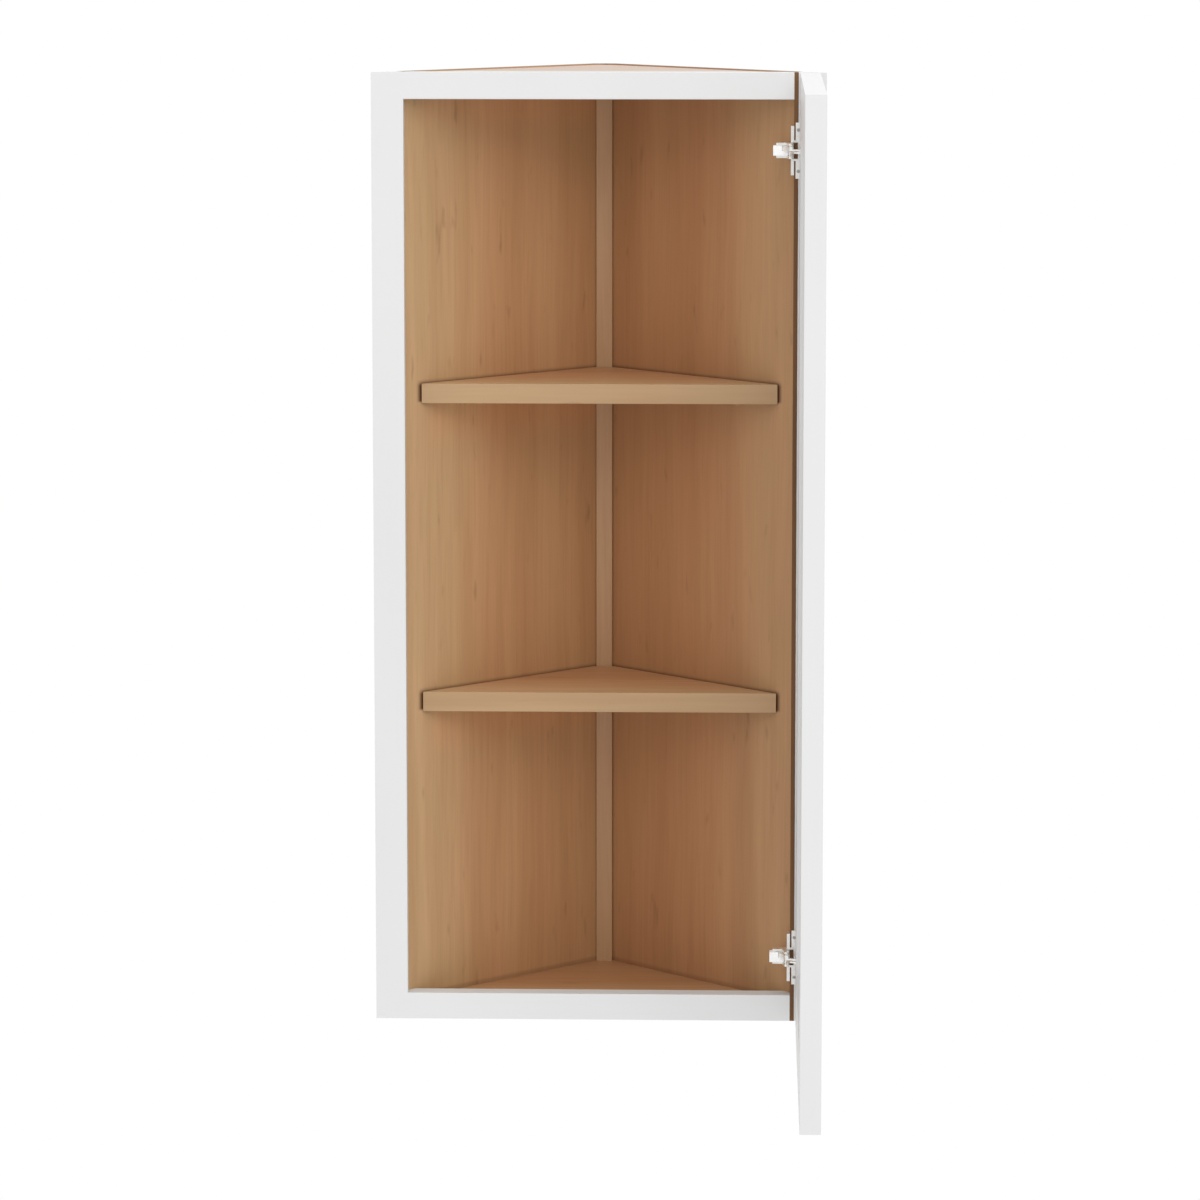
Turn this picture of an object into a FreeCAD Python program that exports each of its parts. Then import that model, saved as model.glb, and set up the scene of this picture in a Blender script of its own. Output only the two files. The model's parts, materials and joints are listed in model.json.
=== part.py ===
import FreeCAD, Part
import math
import os
import Sketcher

# Wall end cabinet with a diagonal front, built from boards, a face frame, a framed door and two cup hinges.
# X runs to the right, Y runs from the front to the rear, Z is up, all in millimetres.
# The origin is the middle of the blunt rear corner, at the cabinet's lower edge.
# The door stands open at a right angle, and the hinge links are drawn in that position.

doc = FreeCAD.newDocument("wall_end_cabinet")
sheet = doc.addObject("Spreadsheet::Sheet", "dims")

DIMENSIONS = {
    # carcass boards
    "leg_length": 304.8,
    "cabinet_height": 914.4,
    "corner_flat": 22.0,
    "panel_thickness": 12.7,
    "deck_thickness": 12.7,
    "dado_depth": 4.0,
    "dado_play": 0.1,
    "top_recess": 1.0,
    "floor_height": 16.5,
    "post_width": 16.0,
    "post_proud": 3.0,
    # face frame
    "frame_thickness": 19.05,
    "frame_stile_width": 30.7,
    "frame_rail_height": 25.4,
    "tenon_length": 16.0,
    "tenon_thickness": 6.35,
    "tenon_setback": 3.2,
    "tenon_shoulder": 4.0,
    "tenon_play": 0.1,
    "edge_ease": 0.8,
    # shelves and their pins
    "shelf_thickness": 19.05,
    "shelf_setback": 6.0,
    "shelf_play": 1.55,
    "band_thickness": 3.0,
    "shelf_post_gap": 2.0,
    "upper_shelf_drop": 298.4,
    "lower_shelf_top": 316.7,
    "pin_diameter": 5.0,
    "pin_embed": 8.0,
    "pin_reach": 7.0,
    "pin_flat": 0.5,
    "pin_hole_play": 0.05,
    "pin_front_inset": 64.0,
    "pin_rear_inset": 60.0,
    # door
    "door_thickness": 19.05,
    "door_stile_width": 57.15,
    "door_rail_height": 57.15,
    "door_panel_thickness": 6.35,
    "groove_depth": 9.5,
    "groove_play": 0.15,
    "panel_float": 1.5,
    "door_open_inset": 5.6,
    "door_open_gap": 4.3,
    # cup hinges: heights, then pivots from the stile's front inner arris or from the door's edge and back
    "upper_hinge_inset": 73.4,
    "lower_hinge_inset": 63.0,
    "arm_pivot_across": -11.82,
    "arm_pivot_back": 6.0,
    "nose_pivot_across": -2.87,
    "nose_pivot_back": -8.08,
    "outer_cup_pivot_edge": 13.43,
    "outer_cup_pivot_deep": 2.6,
    "inner_cup_pivot_edge": 15.32,
    "inner_cup_pivot_deep": 6.74,
    "outer_knee_across": -3.4,
    "outer_knee_back": -12.9,
    "inner_knee_across": 1.3,
    "inner_knee_back": -16.0,
    "link_width": 3.6,
    "link_play": 0.15,
    "link_bar_height": 1.7,
    "link_split": 0.25,
    "eye_radius": 2.4,
    "hinge_pin_radius": 1.2,
    "running_play": 0.05,
    "seat_play": 0.02,
    "open_pivot_play": 1.3,
    "open_eye_wall": 1.2,
    "arm_height": 14.4,
    "arm_wall": 1.4,
    "arm_cheek": 2.4,
    "arm_web_back": 10.2,
    "arm_front": 2.8,
    "arm_reach": 16.8,
    "arm_shoulder": 7.9,
    "nose_radius": 2.3,
    "nose_rounding": 1.8,
    "cover_reach": 19.7,
    "cover_near": 5.7,
    "cover_play": 0.1,
    "cover_front": -1.2,
    "cover_step": 14.8,
    "cover_lip": 12.3,
    "cover_lip_slant": 0.75,
    "cover_skin": 1.6,
    "cover_split": 0.1,
    "wing_thickness": 3.0,
    "wing_depth": 12.0,
    "wing_height": 46.5,
    "tab_thickness": 1.5,
    "tab_width": 6.5,
    "tab_height": 53.0,
    "plate_notch_height": 15.4,
    "plate_notch_across": 3.6,
    "plate_notch_back": 5.2,
    "bend_slot": 1.5,
    "bend_strap": 2.0,
    "screw_hole_radius": 1.7,
    "plate_screw_rise": 19.5,
    "plate_screw_across": 4.2,
    "cup_radius": 17.5,
    "cup_edge_distance": 24.0,
    "cup_depth": 13.6,
    "cup_floor": 1.0,
    "cup_mouth_length": 31.6,
    "cup_mouth_height": 15.4,
    "cup_bore_play": 0.1,
    "cup_pin_embed": 3.5,
    "flange_thickness": 1.5,
    "flange_width": 14.0,
    "flange_height": 56.0,
    "flange_clip": 4.0,
    "flange_play": 0.2,
    "cup_screw_rise": 22.0,
}
for row, (alias, number) in enumerate(DIMENSIONS.items(), start=1):
    sheet.set(f"A{row}", alias.replace("_", " "))
    sheet.set(f"B{row}", str(number))
    sheet.setAlias(f"B{row}", alias)
doc.recompute()


def value(text):
    """The number that an expression on the sheet stands for."""
    return float(sheet.evalExpression(text))


# Derived places, as expressions on the sheet
HALF_WIDTH = "(dims.leg_length * sqrt(2) / 2)"
CORNER_TO_FRONT = f"({HALF_WIDTH} - dims.corner_flat / 2)"
FRONT = f"(-{CORNER_TO_FRONT})"
FRAME_BACK = f"({FRONT} + dims.frame_thickness)"
PANEL_ACROSS = "(dims.panel_thickness * sqrt(2))"
STILE_INNER = f"({HALF_WIDTH} - dims.frame_stile_width)"
STILE_EDGE_DEPTH = f"(dims.frame_stile_width - {PANEL_ACROSS})"
PANEL_FRONT = "(dims.leg_length - dims.frame_stile_width * sqrt(2) + dims.panel_thickness)"
DOOR_WIDTH = "(dims.leg_length * sqrt(2))"
DOOR_X = f"({STILE_INNER} + dims.door_open_inset)"
DOOR_Y = f"({FRONT} - dims.door_open_gap)"
HINGE_SIDES = (
    ("upper", "(dims.cabinet_height - dims.upper_hinge_inset)"),
    ("lower", "dims.lower_hinge_inset"),
)
SHELVES = (
    ("upper", "(dims.cabinet_height - dims.upper_shelf_drop)"),
    ("lower", "dims.lower_shelf_top"),
)
HALF_HEIGHT = "(dims.cabinet_height / 2)"


def inner_half(back, offset="0"):
    """Half of the room between the side panels at a distance behind the front, less an offset across."""
    return f"({HALF_WIDTH} - {PANEL_ACROSS} - ({back}) - ({offset}))"


sub_parts = []


def new_body(label):
    body = doc.addObject("PartDesign::Body", label)
    body.Label = label
    sub_parts.append(body)
    return body


def place(item, x="0", y="0", z="0", turn=0):
    """Put a piece at a place on the sheet, turned about Z by a whole angle."""
    item.Placement = FreeCAD.Placement(
        FreeCAD.Vector(value(x), value(y), value(z)), FreeCAD.Rotation(FreeCAD.Vector(0, 0, 1), turn)
    )
    for axis, text in zip("xyz", (x, y, z)):
        item.setExpression(f"Placement.Base.{axis}", text)


def base_plane(body, role):
    return next(item for item in body.Origin.OriginFeatures if item.Role == role)


def new_sketch(body, name, role, lift="0"):
    sketch = body.newObject("Sketcher::SketchObject", name)
    sketch.AttachmentSupport = [(base_plane(body, role), "")]
    sketch.MapMode = "FlatFace"
    sketch.setExpression("AttachmentOffset.Base.z", lift)
    return sketch


def pin_down(sketch, geometry, point, across, along):
    """Hold a sketch point at two distances from the sketch's origin."""
    for kind, text in (("DistanceX", across), ("DistanceY", along)):
        index = sketch.addConstraint(Sketcher.Constraint(kind, -1, 1, geometry, point, value(text)))
        sketch.setExpression(f"Constraints[{index}]", text)


def add_outline(sketch, corners):
    """A closed outline of straight lines, each corner held by two expressions."""
    spots = [FreeCAD.Vector(value(across), value(along), 0) for across, along in corners]
    first = sketch.GeometryCount
    count = len(corners)
    for start, end in zip(spots, spots[1:] + spots[:1]):
        sketch.addGeometry(Part.LineSegment(start, end), False)
    for side in range(count):
        after = first + (side + 1) % count
        sketch.addConstraint(Sketcher.Constraint("Coincident", first + side, 2, after, 1))
    for side, (across, along) in enumerate(corners):
        pin_down(sketch, first + side, 1, across, along)


def add_circle(sketch, across, along, radius):
    centre = FreeCAD.Vector(value(across), value(along), 0)
    index = sketch.addGeometry(Part.Circle(centre, FreeCAD.Vector(0, 0, 1), value(radius)), False)
    rule = sketch.addConstraint(Sketcher.Constraint("Radius", index, value(radius)))
    sketch.setExpression(f"Constraints[{rule}]", radius)
    pin_down(sketch, index, 3, across, along)


def rectangle(across_low, along_low, across_high, along_high):
    return [
        (across_low, along_low),
        (across_high, along_low),
        (across_high, along_high),
        (across_low, along_high),
    ]


def pad(body, sketch, length, both_ways=False, backwards=False):
    feature = body.newObject("PartDesign::Pad", f"{body.Name}_pad")
    feature.Profile = sketch
    feature.setExpression("Length", length)
    feature.Midplane = both_ways
    feature.Reversed = backwards
    return feature


def pocket(body, sketch, depth, both_ways=False, backwards=False):
    """Cut a sketch into its body, and stop if nothing was removed."""
    doc.recompute()
    before = body.Shape.Volume
    feature = body.newObject("PartDesign::Pocket", f"{body.Name}_pocket")
    feature.Profile = sketch
    feature.setExpression("Length", depth)
    feature.Midplane = both_ways
    feature.Reversed = backwards
    doc.recompute()
    if before - body.Shape.Volume < 1e-3:
        raise RuntimeError(f"{body.Label}: the cut {sketch.Name} removes nothing")
    return feature


def plan_board(label, corners, low, height):
    """A board drawn in plan and raised upwards."""
    body = new_body(label)
    sketch = new_sketch(body, f"{label}_plan", "XY_Plane")
    add_outline(sketch, corners)
    pad(body, sketch, height)
    place(body, z=low)
    return body


def ease_edges(body, wanted):
    """Round the edges that a test picks, by the common easing radius."""
    doc.recompute()
    base = body.Tip
    names = [f"Edge{number}" for number, edge in enumerate(base.Shape.Edges, start=1) if wanted(edge)]
    feature = body.newObject("PartDesign::Fillet", f"{body.Name}_easing")
    feature.Base = (base, names)
    feature.setExpression("Radius", "dims.edge_ease")
    return feature


def on_line(edge, axis, number, slack=0.01):
    """True if an edge lies wholly at one value of x, y or z in its body's own frame."""
    return all(abs(getattr(vertex.Point, axis) - number) < slack for vertex in edge.Vertexes)


# Side panels, each drawn along its own length from the virtual rear corner
def side_panel(label, turn, inward):
    def side(distance):
        return f"({inward} * ({distance}))"

    body = new_body(label)
    flat_along = "(dims.corner_flat / sqrt(2))"
    mitre = "(dims.corner_flat / (2 * sqrt(2)))"
    plan = new_sketch(body, f"{label}_plan", "XY_Plane")
    add_outline(
        plan,
        [
            (f"-{PANEL_FRONT}", "0"),
            (f"-{PANEL_FRONT}", side("dims.panel_thickness")),
            ("-dims.panel_thickness", side("dims.panel_thickness")),
            (f"-{mitre}", side(mitre)),
            (f"-{flat_along}", "0"),
        ],
    )
    pad(body, plan, "dims.cabinet_height")
    inner_face = f"({-inward} * dims.panel_thickness)"
    inwards_is_plus_y = inward > 0
    grooves = new_sketch(body, f"{label}_dados", "XZ_Plane", inner_face)
    for low, high in (
        (BOTTOM_LOW, "(dims.floor_height + dims.dado_play)"),
        (TOP_LOW, "dims.cabinet_height"),
    ):
        corner_end = "(dims.dado_depth - dims.panel_thickness)"
        add_outline(grooves, rectangle(f"-{PANEL_FRONT}", f"({low} - dims.dado_play)", corner_end, high))
    pocket(body, grooves, "(dims.dado_depth + dims.dado_play)", backwards=inwards_is_plus_y)
    holes = new_sketch(body, f"{label}_pin_holes", "XZ_Plane", inner_face)
    for _, top in SHELVES:
        for along in (PIN_FRONT, PIN_REAR):
            add_circle(holes, f"-{along}", pin_level(top), "(dims.pin_diameter / 2 + dims.pin_hole_play)")
    pocket(body, holes, "(dims.pin_embed + dims.pin_hole_play)", backwards=inwards_is_plus_y)
    place(body, y="dims.corner_flat / 2", turn=turn)
    return body


BOTTOM_LOW = "(dims.floor_height - dims.deck_thickness)"
TOP_LOW = "(dims.cabinet_height - dims.top_recess - dims.deck_thickness)"
SHELF_FRONT = "(dims.frame_thickness + dims.shelf_setback)"
SHELF_REAR = f"({HALF_WIDTH} - {PANEL_ACROSS} - dims.post_width / 2 - dims.post_proud - dims.shelf_post_gap)"
PIN_FRONT = f"(dims.leg_length - {SHELF_FRONT} * sqrt(2) - dims.pin_front_inset)"
PIN_REAR = f"(({HALF_WIDTH} - {SHELF_REAR}) * sqrt(2) + dims.pin_rear_inset)"


def pin_level(shelf_top):
    return f"({shelf_top} - dims.shelf_thickness - dims.pin_diameter / 2 + dims.pin_flat)"


side_panel("left_side_panel", 45, -1)
side_panel("right_side_panel", 135, 1)


# Top and bottom boards, let into the side panels' dados
def deck_board(label, low):
    reach = "(dims.dado_depth * sqrt(2))"
    front_half = inner_half("dims.frame_thickness", f"-{reach}")
    rear = f"({FRONT} + {HALF_WIDTH} - {PANEL_ACROSS})"
    plan_board(
        label,
        [(f"-{front_half}", FRAME_BACK), (front_half, FRAME_BACK), (reach, rear), (f"-{reach}", rear)],
        low,
        "dims.deck_thickness",
    )


deck_board("top_board", TOP_LOW)
deck_board("bottom_board", BOTTOM_LOW)


# Corner post, with a pointed back that fits the corner and a face that stands proud of both panels
POST_HALF = "(dims.post_width / 2)"
POST_SHOULDER = f"({FRONT} + {HALF_WIDTH} - {PANEL_ACROSS} - {POST_HALF})"
POST_FACE = f"({POST_SHOULDER} - dims.post_proud)"
POST_BACK = f"({FRONT} + {HALF_WIDTH} - {PANEL_ACROSS})"
post = plan_board(
    "corner_post",
    [
        (f"-{POST_HALF}", POST_FACE),
        (POST_HALF, POST_FACE),
        (POST_HALF, POST_SHOULDER),
        ("0", POST_BACK),
        (f"-{POST_HALF}", POST_SHOULDER),
    ],
    "dims.floor_height",
    f"({TOP_LOW} - dims.floor_height)",
)
ease_edges(post, lambda edge: on_line(edge, "y", value(POST_FACE)) and edge.Length > value(HALF_HEIGHT))


# Face frame stiles: square inside edge, outer edge in line with the side panel, back square to the panel
def frame_stile(label, hand):
    corner_back = f"({FRONT} + dims.frame_stile_width - dims.panel_thickness / sqrt(2))"
    corner_across = f"({HALF_WIDTH} - dims.frame_stile_width + dims.panel_thickness / sqrt(2))"
    body = plan_board(
        label,
        [
            (f"({hand} * {HALF_WIDTH})", FRONT),
            (f"({hand} * {STILE_INNER})", FRONT),
            (f"({hand} * {STILE_INNER})", f"({FRONT} + {STILE_EDGE_DEPTH})"),
            (f"({hand} * {corner_across})", corner_back),
        ],
        "0",
        "dims.cabinet_height",
    )
    return body


TENON_FRONT = f"({FRONT} + dims.tenon_setback)"
TENON_BACK = f"({TENON_FRONT} + dims.tenon_thickness)"
TENON_HEIGHT = "(dims.frame_rail_height - 2 * dims.tenon_shoulder)"
# Each rail with its lower level and the level, within the rail, of its edge beside the opening
RAILS = (
    ("bottom", "0", "dims.frame_rail_height"),
    ("top", "(dims.cabinet_height - dims.frame_rail_height)", "0"),
)


def square_up_ends(body, hand):
    """The stile's arris made square again where the rails meet it: the easing stops at the opening."""
    for name, rail_low, _ in RAILS:
        corner = new_sketch(body, f"{body.Name}_{name}_arris", "XY_Plane", rail_low)
        add_outline(
            corner,
            rectangle(f"({hand} * {STILE_INNER})", FRONT, f"({hand} * ({STILE_INNER} + 2 * dims.edge_ease))",
                      f"({FRONT} + 2 * dims.edge_ease)"),
        )
        pad(body, corner, "dims.frame_rail_height")


def cut_mortises(body, hand):
    """A mortise at each end of a stile, a little larger than the rail's tenon all round."""
    for name, rail_low, _ in RAILS:
        floor = f"({rail_low} + dims.tenon_shoulder - dims.tenon_play)"
        mortise = new_sketch(body, f"{body.Name}_{name}_mortise", "XY_Plane", floor)
        add_outline(
            mortise,
            rectangle(f"({hand} * {STILE_INNER})", f"({TENON_FRONT} - dims.tenon_play)",
                      f"({hand} * ({STILE_INNER} + dims.tenon_length + dims.tenon_play))",
                      f"({TENON_BACK} + dims.tenon_play)"),
        )
        pocket(body, mortise, f"({TENON_HEIGHT} + 2 * dims.tenon_play)", backwards=True)


latch_stile = frame_stile("latch_stile", -1)
hinge_stile = frame_stile("hinge_stile", 1)
for stile, hand in ((latch_stile, -1), (hinge_stile, 1)):
    arris = hand * value(STILE_INNER)
    ease_edges(stile, lambda edge: on_line(edge, "y", value(FRONT)) and on_line(edge, "x", arris))
    square_up_ends(stile, hand)
    cut_mortises(stile, hand)


# Face frame rails, with rear ends bevelled to meet the side panels
def frame_rail(label, low, opening_edge):
    body = plan_board(
        label,
        [
            (f"-{STILE_INNER}", FRONT),
            (STILE_INNER, FRONT),
            (STILE_INNER, f"({FRONT} + {STILE_EDGE_DEPTH})"),
            (inner_half("dims.frame_thickness"), FRAME_BACK),
            (f"-{inner_half('dims.frame_thickness')}", FRAME_BACK),
            (f"-{STILE_INNER}", f"({FRONT} + {STILE_EDGE_DEPTH})"),
        ],
        low,
        "dims.frame_rail_height",
    )
    ease_edges(
        body,
        lambda edge: on_line(edge, "y", value(FRONT)) and on_line(edge, "z", value(opening_edge)),
    )
    tenons = new_sketch(body, f"{label}_tenons", "XY_Plane", "dims.tenon_shoulder")
    reach = f"({STILE_INNER} + dims.tenon_length)"
    add_outline(tenons, rectangle(f"-{reach}", TENON_FRONT, reach, TENON_BACK))
    pad(body, tenons, TENON_HEIGHT)


for name, low, opening_edge in RAILS:
    frame_rail(f"{name}_rail", low, opening_edge)


def group(label, pieces):
    """Several like solids kept as one named sub-part."""
    item = doc.addObject("Part::Compound", label)
    item.Label = label
    item.Links = pieces
    sub_parts.append(item)
    return item


def rod(name, radius, length, x, y, z, axis=FreeCAD.Vector(0, 0, 1)):
    """A plain round rod that starts at a place and runs along an axis."""
    item = doc.addObject("Part::Cylinder", name)
    item.setExpression("Radius", radius)
    item.setExpression("Height", length)
    item.Placement = FreeCAD.Placement(
        FreeCAD.Vector(value(x), value(y), value(z)), FreeCAD.Rotation(FreeCAD.Vector(0, 0, 1), axis)
    )
    for key, text in zip("xyz", (x, y, z)):
        item.setExpression(f"Placement.Base.{key}", text)
    return item


# Shelves, each on four pins, with the rear corner cut off in front of the post and a band along the front
def shelf_strip(label, top, near, far):
    """The part of a shelf between two distances behind the cabinet's front."""
    play = "(dims.shelf_play * sqrt(2))"
    corners = []
    for back, sides in ((near, (-1, 1)), (far, (1, -1))):
        corners.extend((f"({side} * {inner_half(back, play)})", f"({FRONT} + {back})") for side in sides)
    return plan_board(label, corners, f"({top} - dims.shelf_thickness)", "dims.shelf_thickness")


def shelf(label, top):
    seam = f"({SHELF_FRONT} + dims.band_thickness)"
    shelf_strip(label, top, seam, SHELF_REAR)
    band = shelf_strip(f"{label}_band", top, SHELF_FRONT, seam)
    front = value(f"{FRONT} + {SHELF_FRONT}")
    half_front = value(inner_half(SHELF_FRONT))
    ease_edges(band, lambda edge: on_line(edge, "y", front) and edge.Length > half_front)


def shelf_pin(name, along, level, turn, inward):
    """A round pin pushed into its hole, with a flat along its free end that carries the shelf."""
    body = doc.addObject("PartDesign::Body", name)
    inner_end = f"({-inward} * (dims.panel_thickness - dims.pin_embed))"
    stem = new_sketch(body, f"{name}_stem", "XZ_Plane", inner_end)
    add_circle(stem, "0", "0", "(dims.pin_diameter / 2)")
    pad(body, stem, "(dims.pin_embed + dims.pin_reach)", backwards=inward > 0)
    flat = new_sketch(body, f"{name}_flat", "XY_Plane", "(dims.pin_diameter / 2 - dims.pin_flat)")
    add_outline(
        flat,
        rectangle("(-dims.pin_diameter / 2)", f"({inward} * dims.panel_thickness)", "(dims.pin_diameter / 2)",
                  f"({inward} * (dims.panel_thickness + dims.pin_reach))"),
    )
    pocket(body, flat, "dims.pin_flat", backwards=True)
    radians = math.radians(turn)
    place(
        body,
        x=f"(-{along} * {math.cos(radians)})",
        y=f"(dims.corner_flat / 2 - {along} * {math.sin(radians)})",
        z=level,
        turn=turn,
    )
    return body


for name, top in SHELVES:
    shelf(f"{name}_shelf", top)
    pins = []
    for side, turn, inward in (("left", 45, -1), ("right", 135, 1)):
        for place_name, along in (("front", PIN_FRONT), ("rear", PIN_REAR)):
            pins.append(shelf_pin(f"{name}_{side}_{place_name}_pin", along, pin_level(top), turn, inward))
    group(f"{name}_shelf_pins", pins)


# Door, drawn flat as it hangs shut and then turned to stand open: its own x runs from the hinge edge,
# and its y from the back
def door_place(item, z="0"):
    place(item, DOOR_X, DOOR_Y, z, -90)


GROOVE_LOW = "(dims.door_thickness / 2 - dims.door_panel_thickness / 2 - dims.groove_play)"
GROOVE_HIGH = "(dims.door_thickness / 2 + dims.door_panel_thickness / 2 + dims.groove_play)"
DOOR_INNER_LOW = "dims.door_stile_width"
DOOR_INNER_HIGH = f"({DOOR_WIDTH} - dims.door_stile_width)"


def door_board(label, corners, low, height):
    body = plan_board(label, corners, low, height)
    door_place(body, low)
    return body


def door_stile(label, outer, inner, into):
    """An upright of the door with a groove along its inner edge, on the side that into points to."""
    floor = f"({inner} + {into} * dims.groove_depth)"
    body = door_board(
        label,
        [
            (outer, "0"),
            (inner, "0"),
            (inner, GROOVE_LOW),
            (floor, GROOVE_LOW),
            (floor, GROOVE_HIGH),
            (inner, GROOVE_HIGH),
            (inner, "dims.door_thickness"),
            (outer, "dims.door_thickness"),
        ],
        "0",
        "dims.cabinet_height",
    )
    ease_edges(body, lambda edge: on_line(edge, "x", value(outer)) and edge.Length > value(HALF_HEIGHT))
    return body


def door_rail(label, low, groove_low):
    """A cross piece of the door, with stub tenons in the stiles' grooves and a groove for the panel."""
    tenon = "(dims.groove_depth - dims.groove_play)"
    tongue_low = f"({GROOVE_LOW} + dims.groove_play)"
    tongue_high = f"({GROOVE_HIGH} - dims.groove_play)"
    body = door_board(
        label,
        [
            (DOOR_INNER_LOW, "0"),
            (DOOR_INNER_HIGH, "0"),
            (DOOR_INNER_HIGH, tongue_low),
            (f"({DOOR_INNER_HIGH} + {tenon})", tongue_low),
            (f"({DOOR_INNER_HIGH} + {tenon})", tongue_high),
            (DOOR_INNER_HIGH, tongue_high),
            (DOOR_INNER_HIGH, "dims.door_thickness"),
            (DOOR_INNER_LOW, "dims.door_thickness"),
            (DOOR_INNER_LOW, tongue_high),
            (f"({DOOR_INNER_LOW} - {tenon})", tongue_high),
            (f"({DOOR_INNER_LOW} - {tenon})", tongue_low),
            (DOOR_INNER_LOW, tongue_low),
        ],
        low,
        "dims.door_rail_height",
    )
    groove = new_sketch(body, f"{label}_groove", "XY_Plane", groove_low)
    past = f"({DOOR_INNER_HIGH} + dims.groove_depth)"
    before = f"({DOOR_INNER_LOW} - dims.groove_depth)"
    add_outline(groove, rectangle(before, GROOVE_LOW, past, GROOVE_HIGH))
    pocket(body, groove, "dims.groove_depth", backwards=True)
    return body


door_hinge_stile = door_stile("door_hinge_stile", "0", DOOR_INNER_LOW, -1)
door_free_stile = door_stile("door_free_stile", DOOR_WIDTH, DOOR_INNER_HIGH, 1)
door_rail("door_bottom_rail", "0", "(dims.door_rail_height - dims.groove_depth)")
door_rail("door_top_rail", "(dims.cabinet_height - dims.door_rail_height)", "0")

door_panel_reach = "(dims.groove_depth - dims.panel_float)"
door_board(
    "door_panel",
    rectangle(
        f"({DOOR_INNER_LOW} - {door_panel_reach})",
        f"({GROOVE_LOW} + dims.groove_play)",
        f"({DOOR_INNER_HIGH} + {door_panel_reach})",
        f"({GROOVE_HIGH} - dims.groove_play)",
    ),
    f"(dims.door_rail_height - {door_panel_reach})",
    f"(dims.cabinet_height - 2 * dims.door_rail_height + 2 * {door_panel_reach})",
)


def flange_outline(body, label, height, play):
    """The outline of a hinge cup's flange: an upright bar with clipped corners."""
    sketch = new_sketch(body, f"{label}_flange", "XZ_Plane")
    corners = []
    for across, rise in ((1, 1), (-1, 1), (-1, -1), (1, -1)):
        wide = f"(dims.cup_edge_distance + {across} * (dims.flange_width / 2 + {play}))"
        tall = f"({height} + {rise} * (dims.flange_height / 2 + {play}))"
        less_wide = f"({wide} - {across} * dims.flange_clip)"
        less_tall = f"({tall} - {rise} * dims.flange_clip)"
        pair = [(wide, less_tall), (less_wide, tall)]
        corners.extend(pair if across * rise > 0 else reversed(pair))
    add_outline(sketch, corners)
    return sketch


# Bores in the door for the hinge cups, and a shallow recess for each flange
cup_bores = new_sketch(door_hinge_stile, "cup_bores", "XZ_Plane")
for _, height in HINGE_SIDES:
    add_circle(cup_bores, "dims.cup_edge_distance", height, "(dims.cup_radius + dims.cup_bore_play)")
pocket(door_hinge_stile, cup_bores, "(dims.cup_depth + dims.cup_bore_play)")
for name, height in HINGE_SIDES:
    recess = flange_outline(door_hinge_stile, f"{name}_recess", height, "dims.flange_play")
    pocket(door_hinge_stile, recess, "dims.flange_thickness")


# Hinge pieces on the frame are drawn from the stile's front inner arris, at the hinge's middle height
ARM_PIVOT = ("dims.arm_pivot_across", "dims.arm_pivot_back")
NOSE_PIVOT = ("dims.nose_pivot_across", "dims.nose_pivot_back")
CHANNEL_HEIGHT = "(dims.arm_height - 2 * dims.arm_cheek)"
LINK_HEIGHT = f"({CHANNEL_HEIGHT} / 2 - dims.link_split - dims.link_play)"


def arris_place(item, height):
    place(item, STILE_INNER, FRONT, height)


def hinge_plate(label, height):
    """A plate bent round the arris: a wing on the stile's inner edge, two straps and a tab on its front."""
    body = new_body(label)
    section = new_sketch(body, f"{label}_section", "XY_Plane")
    add_outline(
        section,
        [
            ("-dims.wing_thickness", "-dims.tab_thickness"),
            ("dims.tab_width", "-dims.tab_thickness"),
            ("dims.tab_width", "0"),
            ("0", "0"),
            ("0", "dims.wing_depth"),
            ("-dims.wing_thickness", "dims.wing_depth"),
        ],
    )
    pad(body, section, "dims.tab_height", both_ways=True)
    trims = new_sketch(body, f"{label}_wing_ends", "YZ_Plane", "0")
    for sign in (-1, 1):
        add_outline(
            trims,
            rectangle("-dims.tab_thickness", f"({sign} * dims.wing_height / 2)", "dims.wing_depth",
                      f"({sign} * dims.tab_height / 2)"),
        )
    pocket(body, trims, "dims.wing_thickness")
    notch = new_sketch(body, f"{label}_notch", "XY_Plane")
    add_outline(
        notch,
        rectangle("-dims.wing_thickness", "-dims.tab_thickness", "dims.plate_notch_across",
                  "dims.plate_notch_back"),
    )
    pocket(body, notch, "dims.plate_notch_height", both_ways=True)
    slots = new_sketch(body, f"{label}_bend_slots", "XZ_Plane", "dims.tab_thickness")
    for sign in (-1, 1):
        strap_end = f"({sign} * (dims.plate_notch_height / 2 + dims.bend_strap))"
        add_outline(slots, rectangle("0", strap_end, "dims.bend_slot", f"({sign} * dims.tab_height / 2)"))
    pocket(body, slots, "dims.tab_thickness")
    holes = new_sketch(body, f"{label}_holes", "XZ_Plane", "dims.tab_thickness")
    for sign in (-1, 1):
        level = f"({sign} * dims.plate_screw_rise)"
        add_circle(holes, "dims.plate_screw_across", level, "dims.screw_hole_radius")
    pocket(body, holes, "dims.tab_thickness")
    arris_place(body, height)


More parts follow.
